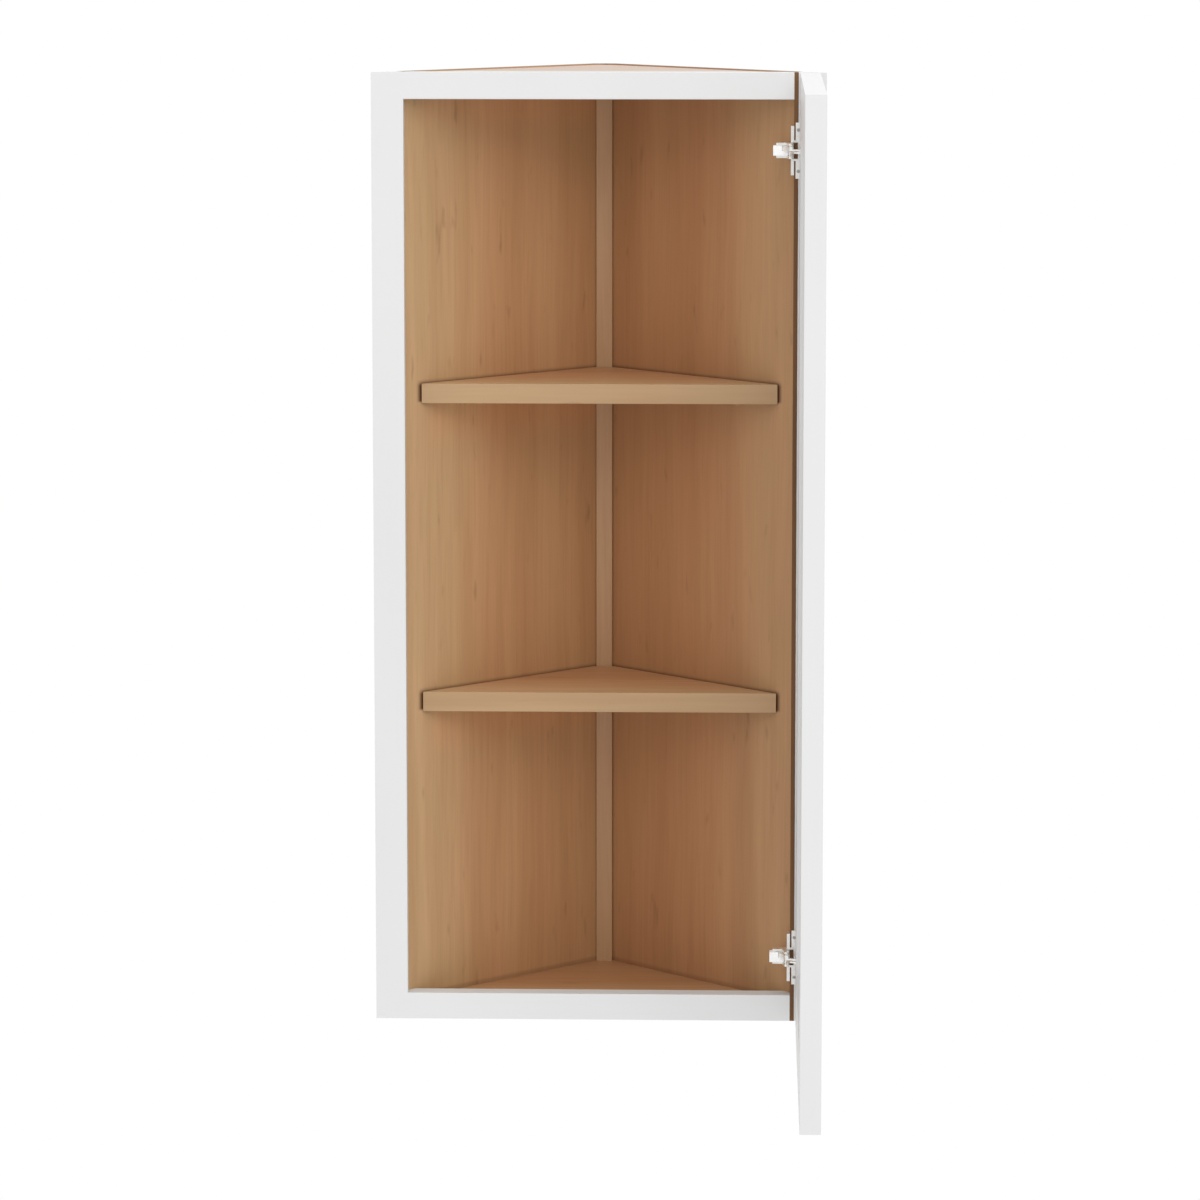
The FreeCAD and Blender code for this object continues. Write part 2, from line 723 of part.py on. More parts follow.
def hinge_arm(label, height):
    """A channel with a web at its back and two cheeks that reach round the arris to the nose pivot."""
    nose_left = ("(dims.nose_pivot_across - dims.nose_radius)", "(dims.nose_pivot_back - dims.nose_radius)")
    nose_right = ("(dims.nose_pivot_across + dims.nose_radius)", "(dims.nose_pivot_back - dims.nose_radius)")
    body = new_body(label)
    cheek = new_sketch(body, f"{label}_cheek", "XY_Plane")
    add_outline(
        cheek,
        [
            ("-dims.arm_reach", "dims.arm_web_back"),
            ("-dims.arm_reach", "dims.arm_front"),
            ("-dims.arm_shoulder", "dims.arm_front"),
            nose_left,
            nose_right,
            ("-dims.wing_thickness", "dims.plate_notch_back"),
            ("-dims.wing_thickness", "dims.arm_web_back"),
        ],
    )
    pad(body, cheek, "dims.arm_height", both_ways=True)
    doc.recompute()
    tip = value("dims.nose_pivot_back - dims.nose_radius")
    base = body.Tip
    names = [
        f"Edge{number}"
        for number, edge in enumerate(base.Shape.Edges, start=1)
        if on_line(edge, "y", tip) and edge.Length > value("dims.arm_height / 2")
    ]
    rounding = body.newObject("PartDesign::Fillet", f"{label}_nose")
    rounding.Base = (base, names)
    rounding.setExpression("Radius", "dims.nose_rounding")
    slot = new_sketch(body, f"{label}_slot", "XY_Plane")
    add_outline(
        slot,
        rectangle("-(dims.arm_reach + dims.arm_wall)", "(2 * dims.nose_pivot_back)", "dims.tab_width",
                  "(dims.arm_web_back - dims.arm_wall)"),
    )
    pocket(body, slot, CHANNEL_HEIGHT, both_ways=True)
    for name, pivot, upward in (("arm", ARM_PIVOT, True), ("nose", NOSE_PIVOT, False)):
        hole = new_sketch(body, f"{label}_{name}_hole", "XY_Plane")
        add_circle(hole, *pivot, "(dims.hinge_pin_radius + dims.seat_play)")
        pocket(body, hole, "dims.arm_height", backwards=upward)
    arris_place(body, height)


def hinge_cover(label, height):
    """The moulded block in the channel: whole below, and above it a skin over the outer link's eye."""
    body = new_body(label)
    web = "(dims.arm_web_back - dims.arm_wall)"
    skin_back = "(dims.cover_front + dims.cover_skin)"
    half_height = f"({CHANNEL_HEIGHT} / 2 - dims.cover_play)"
    lower = new_sketch(body, f"{label}_lower", "XY_Plane", f"-{half_height}")
    add_outline(lower, rectangle("-dims.cover_reach", "dims.cover_front", "-dims.cover_near", web))
    pad(body, lower, f"({half_height} - dims.cover_split)")
    upper = new_sketch(body, f"{label}_upper", "XY_Plane", "-dims.cover_split")
    add_outline(
        upper,
        [
            ("-dims.cover_reach", "dims.cover_front"),
            ("(dims.cover_lip_slant - dims.cover_lip)", "dims.cover_front"),
            ("-dims.cover_lip", skin_back),
            ("-dims.cover_step", skin_back),
            ("-dims.cover_step", web),
            ("-dims.cover_reach", web),
        ],
    )
    pad(body, upper, f"({half_height} + dims.cover_split)")
    arris_place(body, height)


def cup_spot(edge, deep):
    """A pivot in the cup, as it stands with the door open, measured from the arris."""
    return f"(dims.door_open_inset + {deep})", f"(-dims.door_open_gap - {edge})"


def hinge_link(label, height, stops, low, thin_from, relief_low, end_hole, end_eye):
    """A bent link: a rounded bar along its bend, thinned towards the cup, with a tall eye at each end."""
    points = [FreeCAD.Vector(value(across), value(back), 0) for across, back in stops]
    tall = value(LINK_HEIGHT)
    bar = Part.Face(Part.makePolygon(points).makeOffset2D(value("dims.link_width / 2"), 0, False, False))
    solid = bar.extrude(FreeCAD.Vector(0, 0, tall))
    span = solid.BoundBox
    corner = FreeCAD.Vector(value(thin_from), span.YMin, value(relief_low))
    relief_height = tall - value("dims.link_bar_height")
    solid = solid.cut(Part.makeBox(span.XMax - corner.x, span.YLength, relief_height, corner))
    for point, eye in ((points[0], "dims.eye_radius"), (points[-1], end_eye)):
        solid = solid.fuse(Part.makeCylinder(value(eye), tall, point))
    for point, hole in ((points[0], "(dims.hinge_pin_radius + dims.running_play)"), (points[-1], end_hole)):
        solid = solid.cut(Part.makeCylinder(value(hole), tall, point))
    item = doc.addObject("Part::Feature", label)
    item.Label = label
    item.Shape = solid.removeSplitter().Solids[0]
    sub_parts.append(item)
    place(item, STILE_INNER, FRONT, f"({height} + {low})")


def hinge_cup(label, height):
    """A round cup with a mouth for the arm and links, and a flange with an ear above and below the mouth."""
    body = new_body(label)
    middle = "dims.cup_edge_distance"
    shell = new_sketch(body, f"{label}_shell", "XZ_Plane")
    add_circle(shell, middle, "0", "dims.cup_radius")
    pad(body, shell, "dims.cup_depth", backwards=True)
    pad(body, flange_outline(body, label, "0", "0"), "dims.flange_thickness", backwards=True)
    mouth = new_sketch(body, f"{label}_mouth", "XZ_Plane")
    add_outline(
        mouth,
        rectangle(f"({middle} - dims.cup_mouth_length / 2)", "(-dims.cup_mouth_height / 2)",
                  f"({middle} + dims.cup_mouth_length / 2)", "(dims.cup_mouth_height / 2)"),
    )
    pocket(body, mouth, "(dims.cup_depth - dims.cup_floor)")
    for name, edge, deep, upward in (
        ("outer", "dims.outer_cup_pivot_edge", "dims.outer_cup_pivot_deep", True),
        ("inner", "dims.inner_cup_pivot_edge", "dims.inner_cup_pivot_deep", False),
    ):
        hole = new_sketch(body, f"{label}_{name}_hole", "XY_Plane")
        add_circle(hole, edge, deep, "(dims.hinge_pin_radius + dims.seat_play)")
        pocket(body, hole, "(dims.cup_mouth_height / 2 + dims.cup_pin_embed)", backwards=upward)
    holes = new_sketch(body, f"{label}_holes", "XZ_Plane")
    for sign in (-1, 1):
        add_circle(holes, middle, f"({sign} * dims.cup_screw_rise)", "dims.screw_hole_radius")
    pocket(body, holes, "dims.flange_thickness")
    door_place(body, height)


OUTER_END = cup_spot("dims.outer_cup_pivot_edge", "dims.outer_cup_pivot_deep")
INNER_END = cup_spot("dims.inner_cup_pivot_edge", "dims.inner_cup_pivot_deep")
OPEN_HOLE = "(dims.hinge_pin_radius + dims.open_pivot_play)"
arm_pins = []
cup_pins = []
for name, height in HINGE_SIDES:
    hinge_plate(f"{name}_hinge_plate", height)
    hinge_arm(f"{name}_hinge_arm", height)
    hinge_cover(f"{name}_hinge_cover", height)
    hinge_link(
        f"{name}_outer_link", height,
        [ARM_PIVOT, ("dims.outer_knee_across", "dims.outer_knee_back"), OUTER_END],
        "dims.link_split", "(dims.outer_knee_across + dims.link_width / 2)", "dims.link_bar_height",
        "(dims.hinge_pin_radius + dims.running_play)", "dims.eye_radius",
    )
    hinge_link(
        f"{name}_inner_link", height,
        [NOSE_PIVOT, ("dims.inner_knee_across", "dims.inner_knee_back"), INNER_END],
        f"-(dims.link_split + {LINK_HEIGHT})", "dims.nose_pivot_across", "0",
        OPEN_HOLE, f"({OPEN_HOLE} + dims.open_eye_wall)",
    )
    hinge_cup(f"{name}_hinge_cup", height)
    pin_top = f"({height} + dims.link_split)"
    arm_length = "(dims.arm_height / 2 - dims.link_split)"
    cup_length = "(dims.cup_mouth_height / 2 + dims.cup_pin_embed - dims.seat_play - dims.link_split)"
    for across, back, length, up, row, key in (
        (*ARM_PIVOT, arm_length, True, arm_pins, "arm"),
        (*NOSE_PIVOT, arm_length, False, arm_pins, "nose"),
        (*OUTER_END, cup_length, True, cup_pins, "outer"),
        (*INNER_END, cup_length, False, cup_pins, "inner"),
    ):
        base = pin_top if up else f"({height} - dims.link_split - {length})"
        x = f"({STILE_INNER} + {across})"
        y = f"({FRONT} + {back})"
        row.append(rod(f"{name}_{key}_pin", "dims.hinge_pin_radius", length, x, y, base))
group("arm_pins", arm_pins)
group("cup_pins", cup_pins)

doc.recompute()
for item in doc.Objects:
    if "Invalid" in item.State or "Error" in item.State:
        raise RuntimeError(f"{item.Label} failed: {item.State}")
for item in sub_parts:
    if item.Shape.isNull() or not item.Shape.isValid():
        raise RuntimeError(f"{item.Label} has no valid shape")

os.makedirs("parts", exist_ok=True)
for item in sub_parts:
    item.Shape.exportStep(f"parts/{item.Label}.step")
print(f"{len(sub_parts)} sub-parts written")
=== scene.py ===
# %% [markdown]
# # A wall end cabinet with a diagonal front
#
# The object is a kitchen cabinet for the open end of a row of wall units. Two maple side panels meet at
# a right angle at the rear, a white painted face frame runs across the diagonal, and a white framed door
# hangs open on the right on two concealed hinges. The solid model already holds every rigid piece at its
# true size, so this lesson gives those pieces their finishes, adds the small fasteners, and sets up the
# light and the camera.

# %% Load the model as a fixed frame
import json
import math

import bmesh
import bpy
from mathutils import Matrix, Vector


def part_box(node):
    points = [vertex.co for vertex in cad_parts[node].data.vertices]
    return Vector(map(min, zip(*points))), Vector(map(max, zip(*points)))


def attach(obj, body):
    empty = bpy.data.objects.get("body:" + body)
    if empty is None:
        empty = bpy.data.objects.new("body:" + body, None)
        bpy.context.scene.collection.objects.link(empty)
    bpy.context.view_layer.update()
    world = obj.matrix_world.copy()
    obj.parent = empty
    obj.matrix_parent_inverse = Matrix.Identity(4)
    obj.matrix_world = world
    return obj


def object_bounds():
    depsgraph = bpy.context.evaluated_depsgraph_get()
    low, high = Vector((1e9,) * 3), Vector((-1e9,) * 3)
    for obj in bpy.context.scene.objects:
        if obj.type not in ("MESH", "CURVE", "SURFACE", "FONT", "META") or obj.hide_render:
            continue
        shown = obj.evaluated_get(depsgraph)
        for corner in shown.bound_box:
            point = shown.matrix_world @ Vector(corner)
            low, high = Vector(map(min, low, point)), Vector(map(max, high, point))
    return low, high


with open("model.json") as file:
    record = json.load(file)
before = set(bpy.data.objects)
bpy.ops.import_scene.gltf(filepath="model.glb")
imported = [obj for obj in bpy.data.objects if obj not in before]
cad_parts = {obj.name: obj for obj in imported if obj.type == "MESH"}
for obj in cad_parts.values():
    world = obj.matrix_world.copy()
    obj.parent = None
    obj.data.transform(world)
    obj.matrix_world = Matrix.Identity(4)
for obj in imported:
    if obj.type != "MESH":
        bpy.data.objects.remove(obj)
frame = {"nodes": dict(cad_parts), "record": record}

scene = bpy.context.scene
cad_low, cad_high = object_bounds()
print("solid model from", tuple(cad_low), "to", tuple(cad_high))

# %% [markdown]
# ## The camera
#
# The photograph was taken from far away with a long lens, a little to the right of the cabinet and above
# its top, so that a sliver of the top board and the door's upper edge can be seen. A long lens keeps the
# frame nearly square. The camera could be aimed with a constraint, but two plain angles are easier to
# read and to adjust by small steps.

# %% Camera
CAMERA_PLACE = Vector((0.1452, -4.9473, 1.1188))
CAMERA_TURN_LEFT = math.radians(1.737)
CAMERA_TILT_DOWN = math.radians(7.799)
CAMERA_LENS = 150.29
CAMERA_SENSOR_WIDTH = 36.0
CAMERA_SHIFT_UP = -0.05
CAMERA_REACH = 200.0

camera_data = bpy.data.cameras.new("photograph_camera")
camera_data.lens = CAMERA_LENS
camera_data.sensor_width = CAMERA_SENSOR_WIDTH
camera_data.shift_y = CAMERA_SHIFT_UP
camera_data.clip_end = CAMERA_REACH
camera = bpy.data.objects.new("photograph_camera", camera_data)
camera.location = CAMERA_PLACE
camera.rotation_euler = (math.pi / 2 - CAMERA_TILT_DOWN, 0.0, CAMERA_TURN_LEFT)
scene.collection.objects.link(camera)
scene.camera = camera
print("camera", tuple(camera.location), "lens", camera_data.lens)

# %% [markdown]
# ## Small helpers for nodes
#
# Every finish below is wired from a handful of nodes. A few helpers keep the wiring short: they add
# a node, stretch noise along an axis, spread a narrow range onto 0 to 1, mix two colours and multiply two
# numbers. The nodes could be wired by hand in the shader editor, but functions say what each step is for
# and can be used again.

# %% Node helpers
SOFT_DETAIL = 2.0
FINE_DETAIL = 3.0
EVEN_ROUGHNESS = 0.5
MIX_FACTOR, MIX_FIRST, MIX_SECOND, MIX_RESULT = 0, 6, 7, 2


def add_node(tree, kind, **values):
    """A node of a kind, with its plain properties set by name."""
    node = tree.nodes.new(kind)
    for key, value in values.items():
        setattr(node, key, value)
    return node


def plug(tree, value, socket):
    """Join a socket to another one, or set it to a plain value."""
    if isinstance(value, bpy.types.NodeSocket):
        tree.links.new(value, socket)
    else:
        socket.default_value = value


def noise_node(tree, vector, scale, detail=SOFT_DETAIL, roughness=EVEN_ROUGHNESS):
    """A noise texture on coordinates that are scaled by a different amount on each axis."""
    mapping = add_node(tree, "ShaderNodeMapping")
    mapping.inputs["Scale"].default_value = scale
    tree.links.new(vector, mapping.inputs["Vector"])
    noise = add_node(tree, "ShaderNodeTexNoise")
    noise.inputs["Scale"].default_value = 1.0
    noise.inputs["Detail"].default_value = detail
    noise.inputs["Roughness"].default_value = roughness
    tree.links.new(mapping.outputs["Vector"], noise.inputs["Vector"])
    return noise


def stretched_noise(tree, vector, scale, detail=SOFT_DETAIL, roughness=EVEN_ROUGHNESS):
    """One number from noise that is stretched along an axis."""
    return noise_node(tree, vector, scale, detail, roughness).outputs["Fac"]


def spread(tree, value, low, high, out_low=0.0, out_high=1.0):
    """A value eased from the range low to high onto another range."""
    node = add_node(tree, "ShaderNodeMapRange", interpolation_type="SMOOTHSTEP")
    node.inputs["From Min"].default_value = low
    node.inputs["From Max"].default_value = high
    node.inputs["To Min"].default_value = out_low
    node.inputs["To Max"].default_value = out_high
    tree.links.new(value, node.inputs["Value"])
    return node.outputs["Result"]


def mixed(tree, factor, first, second, blend="MIX"):
    """Two colours mixed by a factor, each of them a socket or a plain colour."""
    node = add_node(tree, "ShaderNodeMix", data_type="RGBA", blend_type=blend)
    plug(tree, factor, node.inputs[MIX_FACTOR])
    plug(tree, first, node.inputs[MIX_FIRST])
    plug(tree, second, node.inputs[MIX_SECOND])
    return node.outputs[MIX_RESULT]


def product(tree, first, second):
    """Two numbers multiplied, each of them a socket or a plain number."""
    node = add_node(tree, "ShaderNodeMath", operation="MULTIPLY")
    plug(tree, first, node.inputs[0])
    plug(tree, second, node.inputs[1])
    return node.outputs[0]


def new_group(name, sockets):
    """An empty node group with named inputs and outputs, returned with its two end nodes."""
    group = bpy.data.node_groups.new(name, "ShaderNodeTree")
    for label, direction, kind in sockets:
        group.interface.new_socket(name=label, in_out=direction, socket_type=f"NodeSocket{kind}")
    return group, add_node(group, "NodeGroupInput"), add_node(group, "NodeGroupOutput")


def principled(name, color, roughness, metallic=0.0):
    """A material with its plain values set, returned with its shader for further wiring."""
    material = bpy.data.materials.new(name)
    material.use_nodes = True
    shader = material.node_tree.nodes["Principled BSDF"]
    shader.inputs["Base Color"].default_value = (*color, 1.0)
    shader.inputs["Roughness"].default_value = roughness
    shader.inputs["Metallic"].default_value = metallic
    return material, shader


def add_relief(tree, shader, height, strength, distance):
    """A bump on a shader from a height that varies over the surface."""
    relief = add_node(tree, "ShaderNodeBump")
    relief.inputs["Strength"].default_value = strength
    relief.inputs["Distance"].default_value = distance
    tree.links.new(height, relief.inputs["Height"])
    tree.links.new(relief.outputs["Normal"], shader.inputs["Normal"])


def strength_by_ray(tree, thrown, seen):
    """One strength for the light thrown on other things, and another for what the camera sees."""
    path = add_node(tree, "ShaderNodeLightPath")
    return spread(tree, path.outputs["Is Camera Ray"], 0.0, 1.0, thrown, seen)


print("node helpers are ready")

# %% [markdown]
# ## Light and floor
#
# The cabinet is shown on plain white with no hard shadow, as in a white photo tent. An even white world
# lights it from every side. A wide lamp high in front is the main light: it brightens the front and
# leaves the space under the top rail and under each shelf in soft shade. A weaker lamp overhead lifts the
# upward faces.

# %% World
WHITE = (1.0, 1.0, 1.0, 1.0)
TENT_LIGHT = 0.82
BACKDROP_LIGHT = 1.0

scene.view_settings.view_transform = "Standard"
world = bpy.data.worlds.new("white_tent")
world.use_nodes = True
background = world.node_tree.nodes["Background"]
background.inputs["Color"].default_value = WHITE
world_strength = strength_by_ray(world.node_tree, TENT_LIGHT, BACKDROP_LIGHT)
world.node_tree.links.new(world_strength, background.inputs["Strength"])
scene.world = world
print("tent light", TENT_LIGHT)

# %% Lamps
LAMP_AIM = Vector((0.0, -0.3, 0.5))
FRONT_LAMP_PLACE = Vector((1.5, -6.0, 5.5))
FRONT_LAMP_SIZE = 5.0
FRONT_LAMP_POWER = 148.0
OVERHEAD_LAMP_PLACE = Vector((0.3, -0.6, 3.4))
OVERHEAD_LAMP_SIZE = 2.2
OVERHEAD_LAMP_POWER = 23.0


def soft_lamp(name, place, size, power):
    """A square soft lamp that looks at the middle of the cabinet."""
    data = bpy.data.lights.new(name, "AREA")
    data.shape = "SQUARE"
    data.size = size
    data.energy = power
    lamp = bpy.data.objects.new(name, data)
    lamp.location = place
    lamp.rotation_euler = (LAMP_AIM - place).to_track_quat("-Z", "Y").to_euler()
    scene.collection.objects.link(lamp)
    print(name, power, "W")


soft_lamp("front_lamp", FRONT_LAMP_PLACE, FRONT_LAMP_SIZE, FRONT_LAMP_POWER)
soft_lamp("overhead_lamp", OVERHEAD_LAMP_PLACE, OVERHEAD_LAMP_SIZE, OVERHEAD_LAMP_POWER)

# %% [markdown]
# The pale floor lies far below, because the cabinet hangs on a wall in use. It looks as white as the
# backdrop, but throws less light upwards than it shows, so that the undersides keep their shade. The
# Light Path node tells the two kinds of ray apart.

# %% Floor
FLOOR_DROP = 1.3
FLOOR_HALF_SIZE = 90.0
FLOOR_BLACK = (0.0, 0.0, 0.0)
FLOOR_ROUGHNESS = 1.0
FLOOR_SEEN = 1.0
FLOOR_LIGHT = 0.93

floor_mesh = bpy.data.meshes.new("floor")
floor_shape = bmesh.new()
bmesh.ops.create_grid(floor_shape, x_segments=1, y_segments=1, size=FLOOR_HALF_SIZE)
bmesh.ops.translate(floor_shape, verts=floor_shape.verts, vec=(0.0, 0.0, cad_low.z - FLOOR_DROP))
floor_shape.to_mesh(floor_mesh)
floor_shape.free()
floor = bpy.data.objects.new("floor", floor_mesh)
floor_material, floor_shader = principled("pale_floor", FLOOR_BLACK, FLOOR_ROUGHNESS)
floor_tree = floor_material.node_tree
floor_glow = strength_by_ray(floor_tree, FLOOR_LIGHT, FLOOR_SEEN)
floor_shader.inputs["Emission Color"].default_value = WHITE
floor_shader.inputs["Specular IOR Level"].default_value = 0.0
floor_tree.links.new(floor_glow, floor_shader.inputs["Emission Strength"])
floor_mesh.materials.append(floor_material)
scene.collection.objects.link(floor)
print("floor at", cad_low.z - FLOOR_DROP)

# %% [markdown]
# ## Maple grain
#
# The inside is natural maple under a satin lacquer. Maple is a calm wood: broad bands and narrow streaks
# that hardly differ, very fine fibres, a few short darker flecks, and patches that lean towards rose or
# olive. All of them run along the grain, so one node group stretches noise along the local Z of the
# coordinates that it is given. A board whose grain lies across the cabinet turns its coordinates before
# they reach the group. An image of wood would be quicker, but noise has no seams and needs no unwrapping.
#
# A tree doesn't grow ruler straight, so the coordinates first wander from side to side by about
# a centimetre.

# %% Sway of the grain
GRAIN_SWAY = (0.012, 0.012, 0.0)
SWAY_SCALE = (7.0, 7.0, 5.0)


def swayed(tree, vector):
    """Coordinates that wander a little from side to side."""
    moved = add_node(tree, "ShaderNodeVectorMath", operation="MULTIPLY_ADD")
    tree.links.new(noise_node(tree, vector, SWAY_SCALE).outputs["Color"], moved.inputs[0])
    moved.inputs[1].default_value = GRAIN_SWAY
    tree.links.new(vector, moved.inputs[2])
    return moved.outputs[0]


print("grain sways by up to", GRAIN_SWAY[0], "m")

# %% [markdown]
# Each figure of the wood has a scale for its noise, which is small along the grain, and a range of the
# noise over which it comes in. The fibres also vary the lacquer's gloss and its height.

# %% Maple node group
BAND_SCALE = (30.0, 30.0, 1.6)
BAND_RANGE = (0.30, 0.70)
PATCH_SCALE = (26.0, 26.0, 9.0)
STREAK_SCALE = (140.0, 140.0, 4.0)
TINT_RANGE = (0.35, 0.65)
FIBRE_SCALE = (420.0, 420.0, 9.0)
FIBRE_ROUGHNESS = 0.6
FIBRE_RANGE = (0.40, 0.74)
FLECK_SCALE = (85.0, 85.0, 20.0)
FLECK_RANGE = (0.65, 0.80)
GLOSS_RANGE = (0.3, 0.7)
LACQUER_ROUGHNESS = (0.44, 0.56)
FIBRE_BROWN = (0.24, 0.12, 0.055, 1.0)
FLECK_BROWN = (0.17, 0.08, 0.035, 1.0)
OLIVE_PATCH = (0.991, 1.006, 0.988, 1.0)
ROSE_PATCH = (1.009, 0.992, 0.994, 1.0)
DARK_STREAK = (0.982, 0.976, 0.971, 1.0)
PALE_STREAK = (1.020, 1.025, 1.028, 1.0)


def build_maple_group():
    """Maple with its grain along Z: bands, patches, streaks, fibres and flecks."""
    group, start, end = new_group("maple_grain", (
        ("Vector", "INPUT", "Vector"),
        ("Light Wood", "INPUT", "Color"),
        ("Dark Wood", "INPUT", "Color"),
        ("Fibre Strength", "INPUT", "Float"),
        ("Fleck Strength", "INPUT", "Float"),
        ("Color", "OUTPUT", "Color"),
        ("Roughness", "OUTPUT", "Float"),
        ("Height", "OUTPUT", "Float"),
    ))
    vector = swayed(group, start.outputs["Vector"])
    bands = stretched_noise(group, vector, BAND_SCALE, FINE_DETAIL)
    patches = stretched_noise(group, vector, PATCH_SCALE)
    streaks = stretched_noise(group, vector, STREAK_SCALE)
    fibres = stretched_noise(group, vector, FIBRE_SCALE, FINE_DETAIL, FIBRE_ROUGHNESS)
    flecks = stretched_noise(group, vector, FLECK_SCALE)
    band_mask = spread(group, bands, *BAND_RANGE)
    base = mixed(group, band_mask, start.outputs["Dark Wood"], start.outputs["Light Wood"])
    patch_tint = mixed(group, spread(group, patches, *TINT_RANGE), OLIVE_PATCH, ROSE_PATCH)
    patched = mixed(group, 1.0, base, patch_tint, "MULTIPLY")
    streak_tint = mixed(group, spread(group, streaks, *TINT_RANGE), DARK_STREAK, PALE_STREAK)
    streaked = mixed(group, 1.0, patched, streak_tint, "MULTIPLY")
    fibre_mask = product(group, spread(group, fibres, *FIBRE_RANGE), start.outputs["Fibre Strength"])
    fibred = mixed(group, fibre_mask, streaked, FIBRE_BROWN)
    fleck_mask = product(group, spread(group, flecks, *FLECK_RANGE), start.outputs["Fleck Strength"])
    group.links.new(mixed(group, fleck_mask, fibred, FLECK_BROWN), end.inputs["Color"])
    roughness = spread(group, fibres, *GLOSS_RANGE, *LACQUER_ROUGHNESS)
    group.links.new(roughness, end.inputs["Roughness"])
    group.links.new(fibres, end.inputs["Height"])
    return group


maple_grain = build_maple_group()
print("maple group with", len(maple_grain.nodes), "nodes")

# %% [markdown]
# ## Painted shade towards the rear corner
#
# The inside is painted with shade: pale and a little cool beside the opening, and deeper and redder in the
# rear corner, where less light gets in and what does get in has bounced between the boards. A gradient in
# depth paints that shade into the wood on every board that lines the inside, so it is one group. It could
# be painted on each board by hand, but a gradient on the cabinet's own coordinates runs on from board to
# board.
# The outer faces look to the rear, and a mask keeps the painted shade off them.

# %% Inside mask
OUTER_FACE_LOW = 0.3
OUTER_FACE_HIGH = 0.5


def kept_inside(tree, mask, normal):
    """A mask that is taken off the outer faces, which look to the rear."""
    facing = add_node(tree, "ShaderNodeSeparateXYZ")
    tree.links.new(normal, facing.inputs[0])
    inside = spread(tree, facing.outputs["Y"], OUTER_FACE_LOW, OUTER_FACE_HIGH, 1.0, 0.0)
    return product(tree, mask, inside)


def new_inside_group(name):
    """A group for a finish of the inside, with its end nodes and the parts of its coordinates."""
    group, start, end = new_group(name, (
        ("Vector", "INPUT", "Vector"),
        ("Normal", "INPUT", "Vector"),
        ("Wood", "INPUT", "Color"),
        ("Color", "OUTPUT", "Color"),
    ))
    place = add_node(group, "ShaderNodeSeparateXYZ")
    group.links.new(start.outputs["Vector"], place.inputs[0])
    return group, start, end, place


print("faces that look to the rear count as outside")

# %% Painted shade towards the rear corner
CORNER_SHADE_NEAR = 0.022
CORNER_SHADE_FAR = 0.105
PALE_TINT = (1.00, 1.03, 1.05, 1.0)
CORNER_SHADE_TINT = (0.97, 0.83, 0.77, 1.0)


def build_corner_shade_group(opening):
    """A painted shade tint, from pale beside the opening to a deeper red in the rear corner."""
    group, start, end, place = new_inside_group("painted_corner_shade")
    depth = spread(group, place.outputs["Y"], opening + CORNER_SHADE_NEAR, opening + CORNER_SHADE_FAR)
    tint = mixed(group, kept_inside(group, depth, start.outputs["Normal"]), PALE_TINT, CORNER_SHADE_TINT)
    group.links.new(mixed(group, 1.0, start.outputs["Wood"], tint, "MULTIPLY"), end.inputs["Color"])
    return group


front_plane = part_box("top_rail")[0].y
painted_corner_shade = build_corner_shade_group(front_plane)
print("wood deepens from", front_plane + CORNER_SHADE_NEAR, "to", front_plane + CORNER_SHADE_FAR)

# %% [markdown]
# ## Where the shelves meet the sides
#
# Each shelf has a little room to its sides, and that narrow gap lies in deep shade. So the panels are
# painted dark brown where a shelf stands, as painted shade. It fades out above the shelf, in front of it
# and towards its underside, and a softer line of painted shade runs along the cabinet floor. The light
# alone leaves the gap too pale, because lacquered wood is bright even in a gap. Masks in height and depth,
# taken from the shelves' own boxes, put the brown in its place.

# %% Painted shade where the shelves meet the sides
# Painted shade: dark brown on the panels round each shelf and along the floor.
SHELF_SHADE_BROWN = (0.085, 0.022, 0.003, 1.0)
SHELF_SHADE_STRENGTH = 0.92
SHADE_FADE_BELOW_TOP = 0.0030
SHADE_FADE_ABOVE_TOP = 0.0042
SHADE_FADE_AHEAD = 0.0032
SHADE_FADE_BEHIND = 0.0012
SHADE_FADE_AT_FOOT = 0.0030
FLOOR_SHADE_FULL_HEIGHT = 0.0022
FLOOR_SHADE_HEIGHT = 0.0060
FLOOR_SHADE_STRENGTH = 0.30


def build_shelf_shade_group(floor_top):
    """Painted shade on the side panels: a soft dark brown round each shelf, and a line along the floor."""
    group, start, end, place = new_inside_group("painted_shelf_shade")
    depth = place.outputs["Y"]
    height = place.outputs["Z"]
    line_start = floor_top + FLOOR_SHADE_FULL_HEIGHT
    line_end = floor_top + FLOOR_SHADE_HEIGHT
    shade_masks = [spread(group, height, line_start, line_end, FLOOR_SHADE_STRENGTH, 0.0)]
    for shelf_name in ("upper_shelf", "lower_shelf"):
        band_low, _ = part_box(f"{shelf_name}_band")
        _, shelf_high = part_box(shelf_name)
        fade_start = shelf_high.z - SHADE_FADE_BELOW_TOP
        fade_end = shelf_high.z + SHADE_FADE_ABOVE_TOP
        under_top = spread(group, height, fade_start, fade_end, SHELF_SHADE_STRENGTH, 0.0)
        over_foot = spread(group, height, band_low.z, band_low.z + SHADE_FADE_AT_FOOT)
        behind = spread(group, depth, band_low.y - SHADE_FADE_AHEAD, band_low.y + SHADE_FADE_BEHIND)
        shade_masks.append(product(group, product(group, under_top, over_foot), behind))
    color = start.outputs["Wood"]
    for shade_mask in shade_masks:
        color = mixed(group, kept_inside(group, shade_mask, start.outputs["Normal"]), color, SHELF_SHADE_BROWN)
    group.links.new(color, end.inputs["Color"])
    return group


painted_shelf_shade = build_shelf_shade_group(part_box("bottom_board")[1].z)
print("shelf mark group with", len(painted_shelf_shade.nodes), "nodes")

